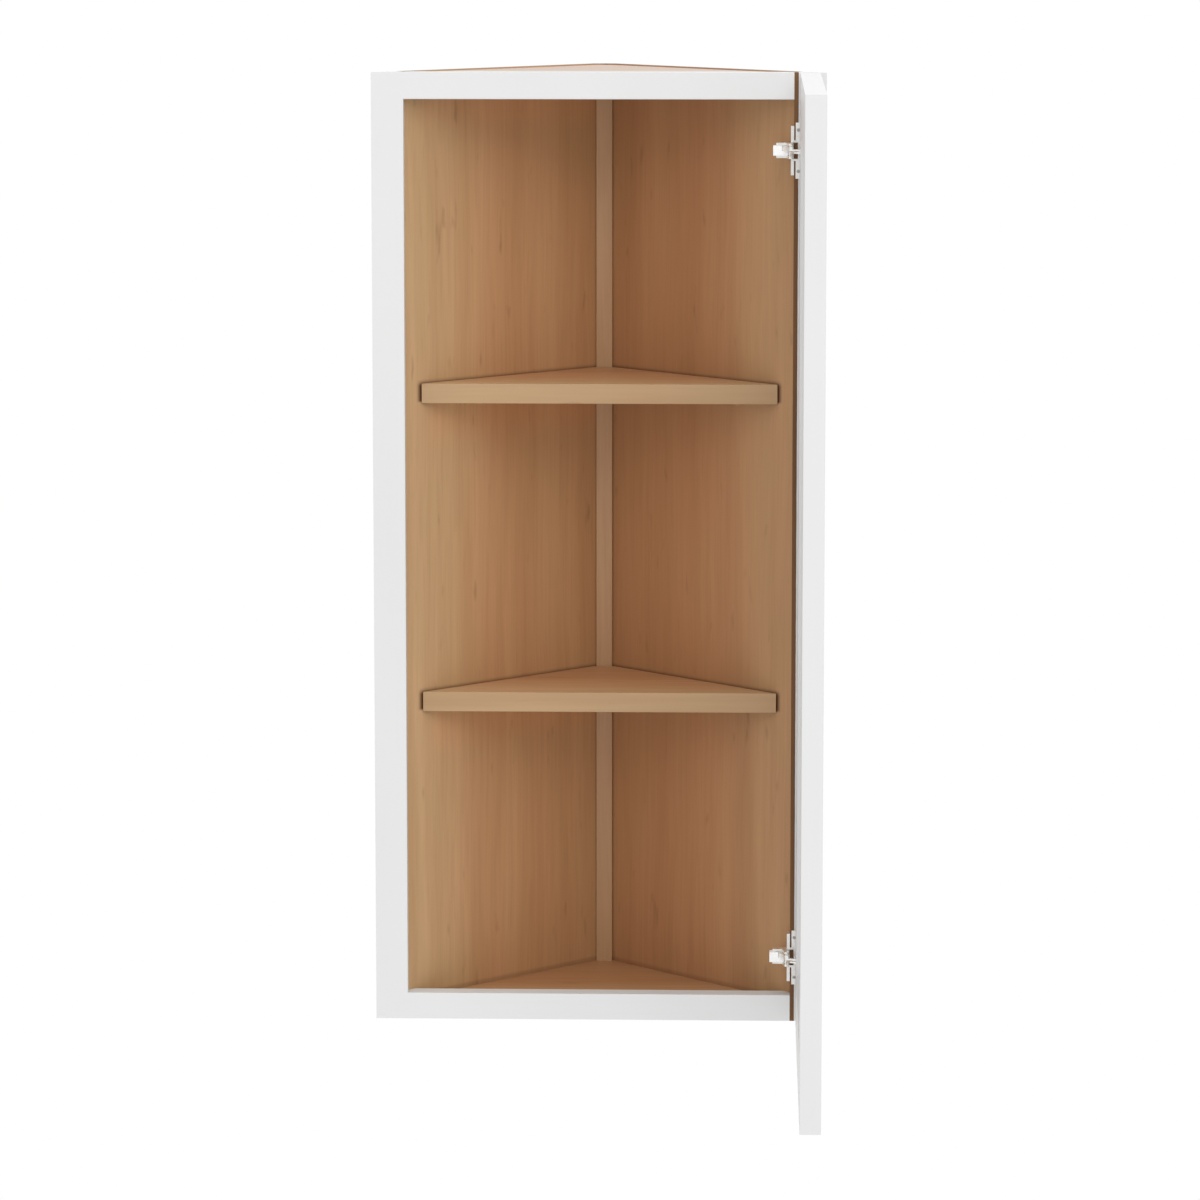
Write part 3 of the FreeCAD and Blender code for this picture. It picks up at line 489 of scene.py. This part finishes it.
# %% [markdown]
# ## Wood finishes
#
# Each board gets the same wood, with its own lay, tone and strength of figure. Object coordinates are the
# cabinet's own frame here, because every board sits at the origin with its place in its mesh. Sawn ends
# drink more lacquer and go darker and greyer, so a mask from the surface's direction darkens the faces
# that look along the grain.
#
# Strongly coloured wood throws an orange cast on the white paint beside it. A camera balanced for the
# room's light hardly shows that cast, so the wood gives its neighbours a weaker light than it shows
# itself, which is also greyer and a little yellower.

# %% Helpers for a board
UPRIGHT = Vector((0.0, 0.0, 1.0))
ACROSS = Vector((1.0, 0.0, 0.0))
LAY_TURN = {tuple(UPRIGHT): (0.0, 0.0, 0.0), tuple(ACROSS): (0.0, -math.pi / 2, 0.0)}
END_GRAIN_TONE = (0.38, 0.46, 0.56, 1.0)
END_GRAIN_RANGE = (0.80, 0.95)
BOUNCE_HUE = 0.525
BOUNCE_SATURATION = 0.7
BOUNCE_VALUE = 0.88


def grain_node(tree, coordinates, grain, tones, fibres, flecks, shift):
    """The maple group placed in a material, with its coordinates laid along the grain."""
    lay = add_node(tree, "ShaderNodeMapping")
    lay.inputs["Rotation"].default_value = LAY_TURN[tuple(grain)]
    lay.inputs["Location"].default_value = shift
    tree.links.new(coordinates.outputs["Object"], lay.inputs["Vector"])
    node = add_node(tree, "ShaderNodeGroup", node_tree=maple_grain)
    for label, tone in zip(("Light Wood", "Dark Wood"), tones):
        node.inputs[label].default_value = (*tone, 1.0)
    node.inputs["Fibre Strength"].default_value = fibres
    node.inputs["Fleck Strength"].default_value = flecks
    tree.links.new(lay.outputs["Vector"], node.inputs["Vector"])
    return node


def in_group(tree, coordinates, group, color):
    """A wood colour passed through one of the groups for the inside."""
    node = add_node(tree, "ShaderNodeGroup", node_tree=group)
    tree.links.new(coordinates.outputs["Object"], node.inputs["Vector"])
    tree.links.new(coordinates.outputs["Normal"], node.inputs["Normal"])
    tree.links.new(color, node.inputs["Wood"])
    return node.outputs["Color"]


def darkened_ends(tree, coordinates, color, grain):
    """A colour made darker and greyer on the faces that look along the grain."""
    along = add_node(tree, "ShaderNodeVectorMath", operation="DOT_PRODUCT")
    tree.links.new(coordinates.outputs["Normal"], along.inputs[0])
    along.inputs[1].default_value = grain
    size = add_node(tree, "ShaderNodeMath", operation="ABSOLUTE")
    tree.links.new(along.outputs["Value"], size.inputs[0])
    end_mask = spread(tree, size.outputs[0], *END_GRAIN_RANGE)
    return mixed(tree, end_mask, color, END_GRAIN_TONE, "MULTIPLY")


def calmer_bounce(tree, color):
    """A colour that throws a weaker and greyer light on its neighbours than it shows itself."""
    path = add_node(tree, "ShaderNodeLightPath")
    greyer = add_node(tree, "ShaderNodeHueSaturation")
    greyer.inputs["Hue"].default_value = BOUNCE_HUE
    greyer.inputs["Saturation"].default_value = BOUNCE_SATURATION
    greyer.inputs["Value"].default_value = BOUNCE_VALUE
    tree.links.new(color, greyer.inputs["Color"])
    return mixed(tree, path.outputs["Is Diffuse Ray"], color, greyer.outputs["Color"])


print("end grain tone", END_GRAIN_TONE[:3])

# %% [markdown]
# The wood just under the top and under each shelf lies in shade, which light bounced off the boards makes
# warmer. On the left panel that warm shade is painted in, and it fades out downwards and towards each
# board's front. Light alone could give it, but the greyer bounce takes it away, so masks in height and
# depth paint the warm shade into the wood below each of these ceilings. Only this board has it, so it is no
# group.

# %% Painted warm shade under the ceilings
WARM_SHADE_TINT = (1.13, 1.04, 1.01, 1.0)
WARM_FULL_BELOW = 0.015
WARM_END_BELOW = 0.055
WARM_EASE_BEHIND_FRONT = 0.016
CEILING_BLUR = 0.0005


def painted_warm_shade(tree, coordinates, color):
    """A colour with painted warm shade just under the top board and under each shelf."""
    place = add_node(tree, "ShaderNodeSeparateXYZ")
    tree.links.new(coordinates.outputs["Object"], place.inputs[0])
    for board in ("top_board", "upper_shelf", "lower_shelf"):
        board_low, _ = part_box(board)
        ceiling = board_low.z
        near = spread(tree, place.outputs["Z"], ceiling - WARM_END_BELOW, ceiling - WARM_FULL_BELOW)
        below = spread(tree, place.outputs["Z"], ceiling, ceiling + CEILING_BLUR, 1.0, 0.0)
        behind = spread(tree, place.outputs["Y"], board_low.y, board_low.y + WARM_EASE_BEHIND_FRONT)
        mask = product(tree, product(tree, near, below), behind)
        warm = kept_inside(tree, mask, coordinates.outputs["Normal"])
        color = mixed(tree, warm, color, WARM_SHADE_TINT, "MULTIPLY")
    return color


print("warm tone reaches", WARM_END_BELOW, "m below each ceiling")

# %% Lacquered maple
PLAIN_FIBRES = 0.11
NO_SHIFT = (0.0, 0.0, 0.0)
LACQUER_MEAN_ROUGHNESS = 0.5
LACQUER_RELIEF = {"strength": 0.04, "distance": 0.0005}


def maple(name, grain, tones, flecks, shift=NO_SHIFT, fibres=PLAIN_FIBRES, shelf_shaded=False, warm=False):
    """Lacquered maple with its grain along an axis, in a light and a dark tone."""
    material, shader = principled(name, tones[0], LACQUER_MEAN_ROUGHNESS)
    tree = material.node_tree
    coordinates = add_node(tree, "ShaderNodeTexCoord")
    node = grain_node(tree, coordinates, grain, tones, fibres, flecks, shift)
    # Painted shade: the wood deepens and reddens towards the rear corner.
    wood = in_group(tree, coordinates, painted_corner_shade, node.outputs["Color"])
    # Painted warm shade under the ceilings, on the left panel only.
    if warm:
        wood = painted_warm_shade(tree, coordinates, wood)
    # Painted shade round the shelves and along the floor.
    if shelf_shaded:
        wood = in_group(tree, coordinates, painted_shelf_shade, wood)
    wood = darkened_ends(tree, coordinates, wood, grain)
    tree.links.new(calmer_bounce(tree, wood), shader.inputs["Base Color"])
    tree.links.new(node.outputs["Roughness"], shader.inputs["Roughness"])
    add_relief(tree, shader, node.outputs["Height"], **LACQUER_RELIEF)
    return material


print("plain fibres have a strength of", PLAIN_FIBRES)

# %% [markdown]
# The tones are pairs, the light wood first and then the dark. A shift picks another place in the noise
# for the post, for the top and floor, and for the shelves. A shelf and its band share one, as if they
# were cut from one plank.

# %% Boards and their tones
LEFT_TONES = ((0.594, 0.364, 0.186), (0.530, 0.309, 0.149))
# The right panel has darker, redder tones than the left: painted shade for the lesser light that falls on
# it.
RIGHT_SHADED_TONES = ((0.485, 0.267, 0.128), (0.425, 0.222, 0.102))
POST_TONES = ((0.555, 0.364, 0.201), (0.507, 0.321, 0.172))
# The top board's tones are paler and greyer than the other maple: painted light for the bright light from
# above on its upper face.
TOP_LIT_TONES = ((0.64, 0.576, 0.51), (0.58, 0.515, 0.447))
FLOOR_TONES = ((0.545, 0.318, 0.162), (0.495, 0.278, 0.134))
SHELF_TONES = ((0.585, 0.347, 0.179), (0.535, 0.302, 0.149))
BAND_TONES = ((0.525, 0.325, 0.173), (0.485, 0.292, 0.150))
PANEL_FLECKS = 0.34
POST_FLECKS = 0.15
TOP_FLECKS = 0.10
BOARD_FLECKS = 0.20
POST_SHIFT = (0.3, 0.1, 0.0)
BOARD_SHIFT = (0.0, 0.2, 0.4)
SHELF_SHIFT = (0.0, 0.5, 0.1)
BAND_FIBRES = 0.05

finishes = {}
for slot_name, grain, tones, flecks, others in (
    ("left_panel_maple", UPRIGHT, LEFT_TONES, PANEL_FLECKS, {"shelf_shaded": True, "warm": True}),
    ("right_panel_maple", UPRIGHT, RIGHT_SHADED_TONES, PANEL_FLECKS, {"shelf_shaded": True}),
    ("post_maple", UPRIGHT, POST_TONES, POST_FLECKS, {"shift": POST_SHIFT}),
    ("top_maple", ACROSS, TOP_LIT_TONES, TOP_FLECKS, {"shift": BOARD_SHIFT}),
    ("floor_maple", ACROSS, FLOOR_TONES, BOARD_FLECKS, {"shift": BOARD_SHIFT}),
    ("shelf_maple", ACROSS, SHELF_TONES, BOARD_FLECKS, {"shift": SHELF_SHIFT}),
    ("band_maple", ACROSS, BAND_TONES, BOARD_FLECKS, {"shift": SHELF_SHIFT, "fibres": BAND_FIBRES}),
):
    finishes[slot_name] = maple(slot_name, grain, tones, flecks, **others)
print(len(finishes), "wood finishes")

# %% [markdown]
# ## White paint
#
# Frame and door are sprayed in a satin white. Spray leaves a faint roundness in the surface that only
# shows in reflections, and the film is never quite even. One group gives a slow change of tone, and
# a fine change of gloss and of height.

# %% Paint node group
FILM_SCALE = (9.0, 9.0, 5.0)
FILM_RANGE = (0.3, 0.7)
SPRAY_SCALE = (700.0, 700.0, 700.0)
PAINT_ROUGHNESS = (0.38, 0.46)


def build_paint_group():
    """A sprayed film that is thinner in places, with a fine roundness."""
    group, start, end = new_group("paint_film", (
        ("Vector", "INPUT", "Vector"),
        ("Paint", "INPUT", "Color"),
        ("Thin Paint", "INPUT", "Color"),
        ("Color", "OUTPUT", "Color"),
        ("Roughness", "OUTPUT", "Float"),
        ("Height", "OUTPUT", "Float"),
    ))
    vector = start.outputs["Vector"]
    film = stretched_noise(group, vector, FILM_SCALE, FINE_DETAIL)
    spray = stretched_noise(group, vector, SPRAY_SCALE)
    film_mask = spread(group, film, *FILM_RANGE)
    tone = mixed(group, film_mask, start.outputs["Thin Paint"], start.outputs["Paint"])
    group.links.new(tone, end.inputs["Color"])
    roughness = spread(group, spray, *GLOSS_RANGE, *PAINT_ROUGHNESS)
    group.links.new(roughness, end.inputs["Roughness"])
    group.links.new(spray, end.inputs["Height"])
    return group


paint_film = build_paint_group()
print("paint group with", len(paint_film.nodes), "nodes")

# %% Paint materials
WHITE_PAINT = (0.785, 0.785, 0.785)
THIN_PAINT_SHARE = 0.985
PAINT_MEAN_ROUGHNESS = 0.42
PAINT_RELIEF = {"strength": 0.05, "distance": 0.0002}


def paint_node(tree):
    """The paint group placed in a material, on the cabinet's own coordinates."""
    coordinates = add_node(tree, "ShaderNodeTexCoord")
    node = add_node(tree, "ShaderNodeGroup", node_tree=paint_film)
    node.inputs["Paint"].default_value = (*WHITE_PAINT, 1.0)
    node.inputs["Thin Paint"].default_value = (*(THIN_PAINT_SHARE * part for part in WHITE_PAINT), 1.0)
    tree.links.new(coordinates.outputs["Object"], node.inputs["Vector"])
    return node, coordinates


def painted(name):
    """Satin white paint all over."""
    material, shader = principled(name, WHITE_PAINT, PAINT_MEAN_ROUGHNESS)
    tree = material.node_tree
    node, _ = paint_node(tree)
    tree.links.new(node.outputs["Color"], shader.inputs["Base Color"])
    tree.links.new(node.outputs["Roughness"], shader.inputs["Roughness"])
    add_relief(tree, shader, node.outputs["Height"], **PAINT_RELIEF)
    return material


for slot_name in ("frame_paint", "door_paint"):
    finishes[slot_name] = painted(slot_name)
    print(slot_name, "is white all over")

# %% [markdown]
# ## The bare margin of the hinge stile
#
# On the hinge stile the paint stops short of the inner arris, and a dark margin of bare wood a few
# millimetres wide runs from top to bottom. It could be a separate strip, but the wood lies flush with the
# paint, so a mask across the stile mixes the two finishes. The mask's edge wanders a little, as a painted
# edge does.

# %% Hinge stile finish
BARE_MARGIN = 0.0041
MARGIN_WANDER = 0.0004
WANDER_SCALE = (1.0, 1.0, 60.0)
MARGIN_BLUR = 0.00015
BARE_SHINE = 0.15
BARE_TONES = ((0.195, 0.095, 0.043), (0.115, 0.053, 0.023))
BARE_FLECKS = 0.3
BARE_SHIFT = (0.1, 0.2, 0.0)


def bare_beside_arris(name, arris):
    """White paint with bare wood between the arris and a line across the stile."""
    material, shader = principled(name, WHITE_PAINT, PAINT_MEAN_ROUGHNESS)
    shader.inputs["Specular IOR Level"].default_value = BARE_SHINE
    tree = material.node_tree
    paint, coordinates = paint_node(tree)
    wood = grain_node(tree, coordinates, UPRIGHT, BARE_TONES, PLAIN_FIBRES, BARE_FLECKS, BARE_SHIFT)
    across = add_node(tree, "ShaderNodeSeparateXYZ")
    tree.links.new(coordinates.outputs["Object"], across.inputs[0])
    wander = stretched_noise(tree, coordinates.outputs["Object"], WANDER_SCALE, FINE_DETAIL)
    edge = add_node(tree, "ShaderNodeMath", operation="MULTIPLY_ADD")
    tree.links.new(wander, edge.inputs[0])
    edge.inputs[1].default_value = -MARGIN_WANDER
    tree.links.new(across.outputs["X"], edge.inputs[2])
    line = arris + BARE_MARGIN - MARGIN_WANDER / 2
    covered = spread(tree, edge.outputs[0], line - MARGIN_BLUR, line + MARGIN_BLUR)
    tone = mixed(tree, covered, wood.outputs["Color"], paint.outputs["Color"])
    tree.links.new(tone, shader.inputs["Base Color"])
    tree.links.new(paint.outputs["Roughness"], shader.inputs["Roughness"])
    add_relief(tree, shader, paint.outputs["Height"], **PAINT_RELIEF)
    return material


stile_low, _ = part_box("hinge_stile")
finishes["hinge_stile_paint"] = bare_beside_arris("hinge_stile_paint", stile_low.x)
print("bare margin from", stile_low.x, "to", stile_low.x + BARE_MARGIN)

# %% [markdown]
# ## Hinge metals and plastics
#
# The hinges are pressed from sheet steel and plated with nickel, which comes out pale and softly bright.
# Plating follows the fine scratches of the sheet, so a stretched noise varies gloss and height, and
# a cloudy one stains the tone. The covers and shelf pins are moulded and get the same fine texture.

# %% Metal and plastic node group
CLOUD_SCALE = (300.0, 300.0, 300.0)
CLOUD_RANGE = (0.35, 0.75)
SCRATCH_SCALE = (2600.0, 2600.0, 260.0)


def build_fine_texture_group():
    """A plated or moulded surface with a faint stain and fine scratches."""
    group, start, end = new_group("fine_texture", (
        ("Vector", "INPUT", "Vector"),
        ("Color", "INPUT", "Color"),
        ("Stain", "INPUT", "Color"),
        ("Smoothest", "INPUT", "Float"),
        ("Roughest", "INPUT", "Float"),
        ("Color", "OUTPUT", "Color"),
        ("Roughness", "OUTPUT", "Float"),
        ("Height", "OUTPUT", "Float"),
    ))
    vector = start.outputs["Vector"]
    cloud = stretched_noise(group, vector, CLOUD_SCALE)
    scratch = stretched_noise(group, vector, SCRATCH_SCALE)
    cloud_mask = spread(group, cloud, *CLOUD_RANGE)
    tone = mixed(group, cloud_mask, start.outputs["Color"], start.outputs["Stain"])
    gloss = add_node(group, "ShaderNodeMapRange")
    group.links.new(scratch, gloss.inputs["Value"])
    group.links.new(start.outputs["Smoothest"], gloss.inputs["To Min"])
    group.links.new(start.outputs["Roughest"], gloss.inputs["To Max"])
    group.links.new(tone, end.inputs["Color"])
    group.links.new(gloss.outputs["Result"], end.inputs["Roughness"])
    group.links.new(scratch, end.inputs["Height"])
    return group


fine_texture = build_fine_texture_group()
print("fine texture group with", len(fine_texture.nodes), "nodes")

# %% Metal and plastic materials
FINE_RELIEF = {"strength": 0.03, "distance": 0.0001}
METAL = 1.0
PLASTIC = 0.0
PLATED_ROUGHNESS = (0.40, 0.52)
BRIGHT_ROUGHNESS = (0.30, 0.42)
COVER_ROUGHNESS = (0.36, 0.46)
SHELF_PIN_ROUGHNESS = (0.40, 0.50)


def textured(name, color, stain, roughness, metallic):
    """A plated or moulded surface with a fine texture, between two values of roughness."""
    smoothest, roughest = roughness
    material, shader = principled(name, color, roughest, metallic)
    tree = material.node_tree
    coordinates = add_node(tree, "ShaderNodeTexCoord")
    node = add_node(tree, "ShaderNodeGroup", node_tree=fine_texture)
    tree.links.new(coordinates.outputs["Object"], node.inputs["Vector"])
    node.inputs["Color"].default_value = (*color, 1.0)
    node.inputs["Stain"].default_value = (*stain, 1.0)
    node.inputs["Smoothest"].default_value = smoothest
    node.inputs["Roughest"].default_value = roughest
    tree.links.new(node.outputs["Color"], shader.inputs["Base Color"])
    tree.links.new(node.outputs["Roughness"], shader.inputs["Roughness"])
    add_relief(tree, shader, node.outputs["Height"], **FINE_RELIEF)
    return material


for slot_name, color, stain, roughness, metallic in (
    ("plate_steel", (0.93, 0.92, 0.90), (0.88, 0.86, 0.83), PLATED_ROUGHNESS, METAL),
    ("arm_steel", (0.95, 0.94, 0.91), (0.90, 0.88, 0.84), PLATED_ROUGHNESS, METAL),
    ("link_steel", (0.92, 0.91, 0.88), (0.86, 0.84, 0.81), PLATED_ROUGHNESS, METAL),
    ("cup_steel", (0.93, 0.92, 0.90), (0.88, 0.86, 0.83), PLATED_ROUGHNESS, METAL),
    ("pin_steel", (0.58, 0.57, 0.56), (0.50, 0.49, 0.48), BRIGHT_ROUGHNESS, METAL),
    ("cover_plastic", (0.98, 0.98, 0.98), (0.96, 0.96, 0.96), COVER_ROUGHNESS, PLASTIC),
    ("shelf_pin_plastic", (0.50, 0.30, 0.16), (0.46, 0.27, 0.14), SHELF_PIN_ROUGHNESS, PLASTIC),
):
    finishes[slot_name] = textured(slot_name, color, stain, roughness, metallic)
print(len(finishes), "finishes in all")

# %% [markdown]
# The hinge covers get a faint glow of their own, painted light that makes them look brighter than the white
# paint around them.

# %% Painted glow in the hinge covers
COVER_PAINTED_GLOW = 0.14

cover_shader = finishes["cover_plastic"].node_tree.nodes["Principled BSDF"]
cover_shader.inputs["Emission Color"].default_value = WHITE
cover_shader.inputs["Emission Strength"].default_value = COVER_PAINTED_GLOW
print("hinge covers glow by", COVER_PAINTED_GLOW)

# %% [markdown]
# The record of the solid model names a material slot for each solid, so one loop hands out the finishes.

# %% Give every solid its finish
slot_of_node = {entry["node"]: entry["material_slot"] for entry in frame["record"]["subparts"]}
for node_name, solid in frame["nodes"].items():
    for holder in solid.material_slots:
        holder.material = finishes[slot_of_node[node_name]]
print(len(slot_of_node), "solids finished")

# %% [markdown]
# ## Screws
#
# Two screws hold each plate to the stile and two hold each cup to the door. Their heads are countersunk
# and sit a hair below the sheet, with a cross recess for the driver. A cone makes the head, four pairs of
# cuts mark the cross on its top, and the faces inside the cross are pushed down. A boolean would do the
# same with a messier mesh.

# %% One screw head
SCREW_SIDES = 32
SCREW_RIM = 0.00160
SCREW_CORE = 0.00100
SCREW_DEPTH = 0.00130
SCREW_EASE = 0.00012
CROSS_AXES = (Vector((1.0, 0.0, 0.0)), Vector((0.0, 1.0, 0.0)))
CROSS_HALF_WIDTH = 0.00028
CROSS_HALF_LENGTH = 0.00110
CROSS_DEPTH = 0.00080
CROSS_TAPER = 0.6
BOTH_SIDES = (-1.0, 1.0)
TINY = 1e-6


def in_top_plane(item):
    """Whether an edge or a face lies in the top plane of the head."""
    return all(corner.co.z > -TINY for corner in item.verts)


def top_geometry(shape):
    """The faces of a shape that lie in its top plane, with their edges and corners."""
    faces = [face for face in shape.faces if in_top_plane(face)]
    edges = {edge for face in faces for edge in face.edges}
    corners = {corner for face in faces for corner in face.verts}
    return faces + list(edges) + list(corners)


def in_cross(face):
    """Whether the middle of a face lies inside the cross."""
    x, y, _ = (abs(part) for part in face.calc_center_median())
    narrow, wide = sorted((x, y))
    return narrow < CROSS_HALF_WIDTH and wide < CROSS_HALF_LENGTH


def screw_head():
    """A countersunk head with a cross recess, its top at the origin and facing up."""
    shape = bmesh.new()
    bmesh.ops.create_cone(
        shape, cap_ends=True, segments=SCREW_SIDES, radius1=SCREW_CORE, radius2=SCREW_RIM, depth=SCREW_DEPTH
    )
    bmesh.ops.translate(shape, verts=shape.verts, vec=(0.0, 0.0, -SCREW_DEPTH / 2))
    rim = [edge for edge in shape.edges if in_top_plane(edge)]
    bmesh.ops.bevel(
        shape, geom=rim, offset=SCREW_EASE, segments=2, profile=0.5, affect="EDGES", material=-1
    )
    for axis in CROSS_AXES:
        for distance in (CROSS_HALF_WIDTH, CROSS_HALF_LENGTH):
            for side in BOTH_SIDES:
                bmesh.ops.bisect_plane(
                    shape, geom=top_geometry(shape), plane_co=side * distance * axis, plane_no=axis
                )
    cross = [face for face in shape.faces if in_top_plane(face) and in_cross(face)]
    pushed = bmesh.ops.extrude_face_region(shape, geom=cross)["geom"]
    bmesh.ops.delete(shape, geom=cross, context="FACES")
    floor_corners = [item for item in pushed if isinstance(item, bmesh.types.BMVert)]
    bmesh.ops.scale(shape, verts=floor_corners, vec=(CROSS_TAPER, CROSS_TAPER, 1.0))
    bmesh.ops.translate(shape, verts=floor_corners, vec=(0.0, 0.0, -CROSS_DEPTH))
    bmesh.ops.recalc_face_normals(shape, faces=shape.faces)
    mesh = bpy.data.meshes.new("screw_head")
    shape.to_mesh(mesh)
    open_edges = sum(not edge.is_manifold for edge in shape.edges)
    print("screw head with", len(shape.faces), "faces and", open_edges, "open edges")
    shape.free()
    return mesh


head_mesh = screw_head()

# %% [markdown]
# The screws of one kind make one piece, so each kind can ride on its own body. Their places are read from
# the boxes of the plates and cups.

# %% Screws in their places
PLATE_SCREW_RISE = 0.0195
PLATE_SCREW_FROM_TAB_EDGE = 0.0023
CUP_SCREW_RISE = 0.022
SCREW_SINK = 0.0001
TO_THE_FRONT = Vector((0.0, -1.0, 0.0))
TO_THE_LEFT = Vector((-1.0, 0.0, 0.0))


def screw_set(name, places, outward, body):
    """One piece that holds a row of screws, each facing outward at its place."""
    facing = outward.to_track_quat("Z", "Y").to_matrix().to_4x4()
    shape = bmesh.new()
    for place in places:
        before = len(shape.verts)
        shape.from_mesh(head_mesh)
        shape.verts.ensure_lookup_table()
        sunk = place - outward * SCREW_SINK
        bmesh.ops.transform(shape, matrix=Matrix.Translation(sunk) @ facing, verts=shape.verts[before:])
    mesh = bpy.data.meshes.new(name)
    shape.to_mesh(mesh)
    shape.free()
    mesh.materials.append(finishes["pin_steel"])
    piece = bpy.data.objects.new(name, mesh)
    scene.collection.objects.link(piece)
    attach(piece, body)
    print(name, "with", len(places), "screws on", body)


plate_places = []
cup_places = []
for hinge in ("upper", "lower"):
    plate_low, plate_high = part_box(f"{hinge}_hinge_plate")
    cup_low, cup_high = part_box(f"{hinge}_hinge_cup")
    plate_middle = (plate_low + plate_high) / 2
    cup_middle = (cup_low + cup_high) / 2
    plate_screw_x = plate_high.x - PLATE_SCREW_FROM_TAB_EDGE
    for side in BOTH_SIDES:
        plate_screw_z = plate_middle.z + side * PLATE_SCREW_RISE
        cup_screw_z = cup_middle.z + side * CUP_SCREW_RISE
        plate_places.append(Vector((plate_screw_x, plate_low.y, plate_screw_z)))
        cup_places.append(Vector((cup_low.x, cup_middle.y, cup_screw_z)))
screw_set("plate_screws", plate_places, TO_THE_FRONT, "carcass")
screw_set("cup_screws", cup_places, TO_THE_LEFT, "door")
bpy.data.meshes.remove(head_mesh)
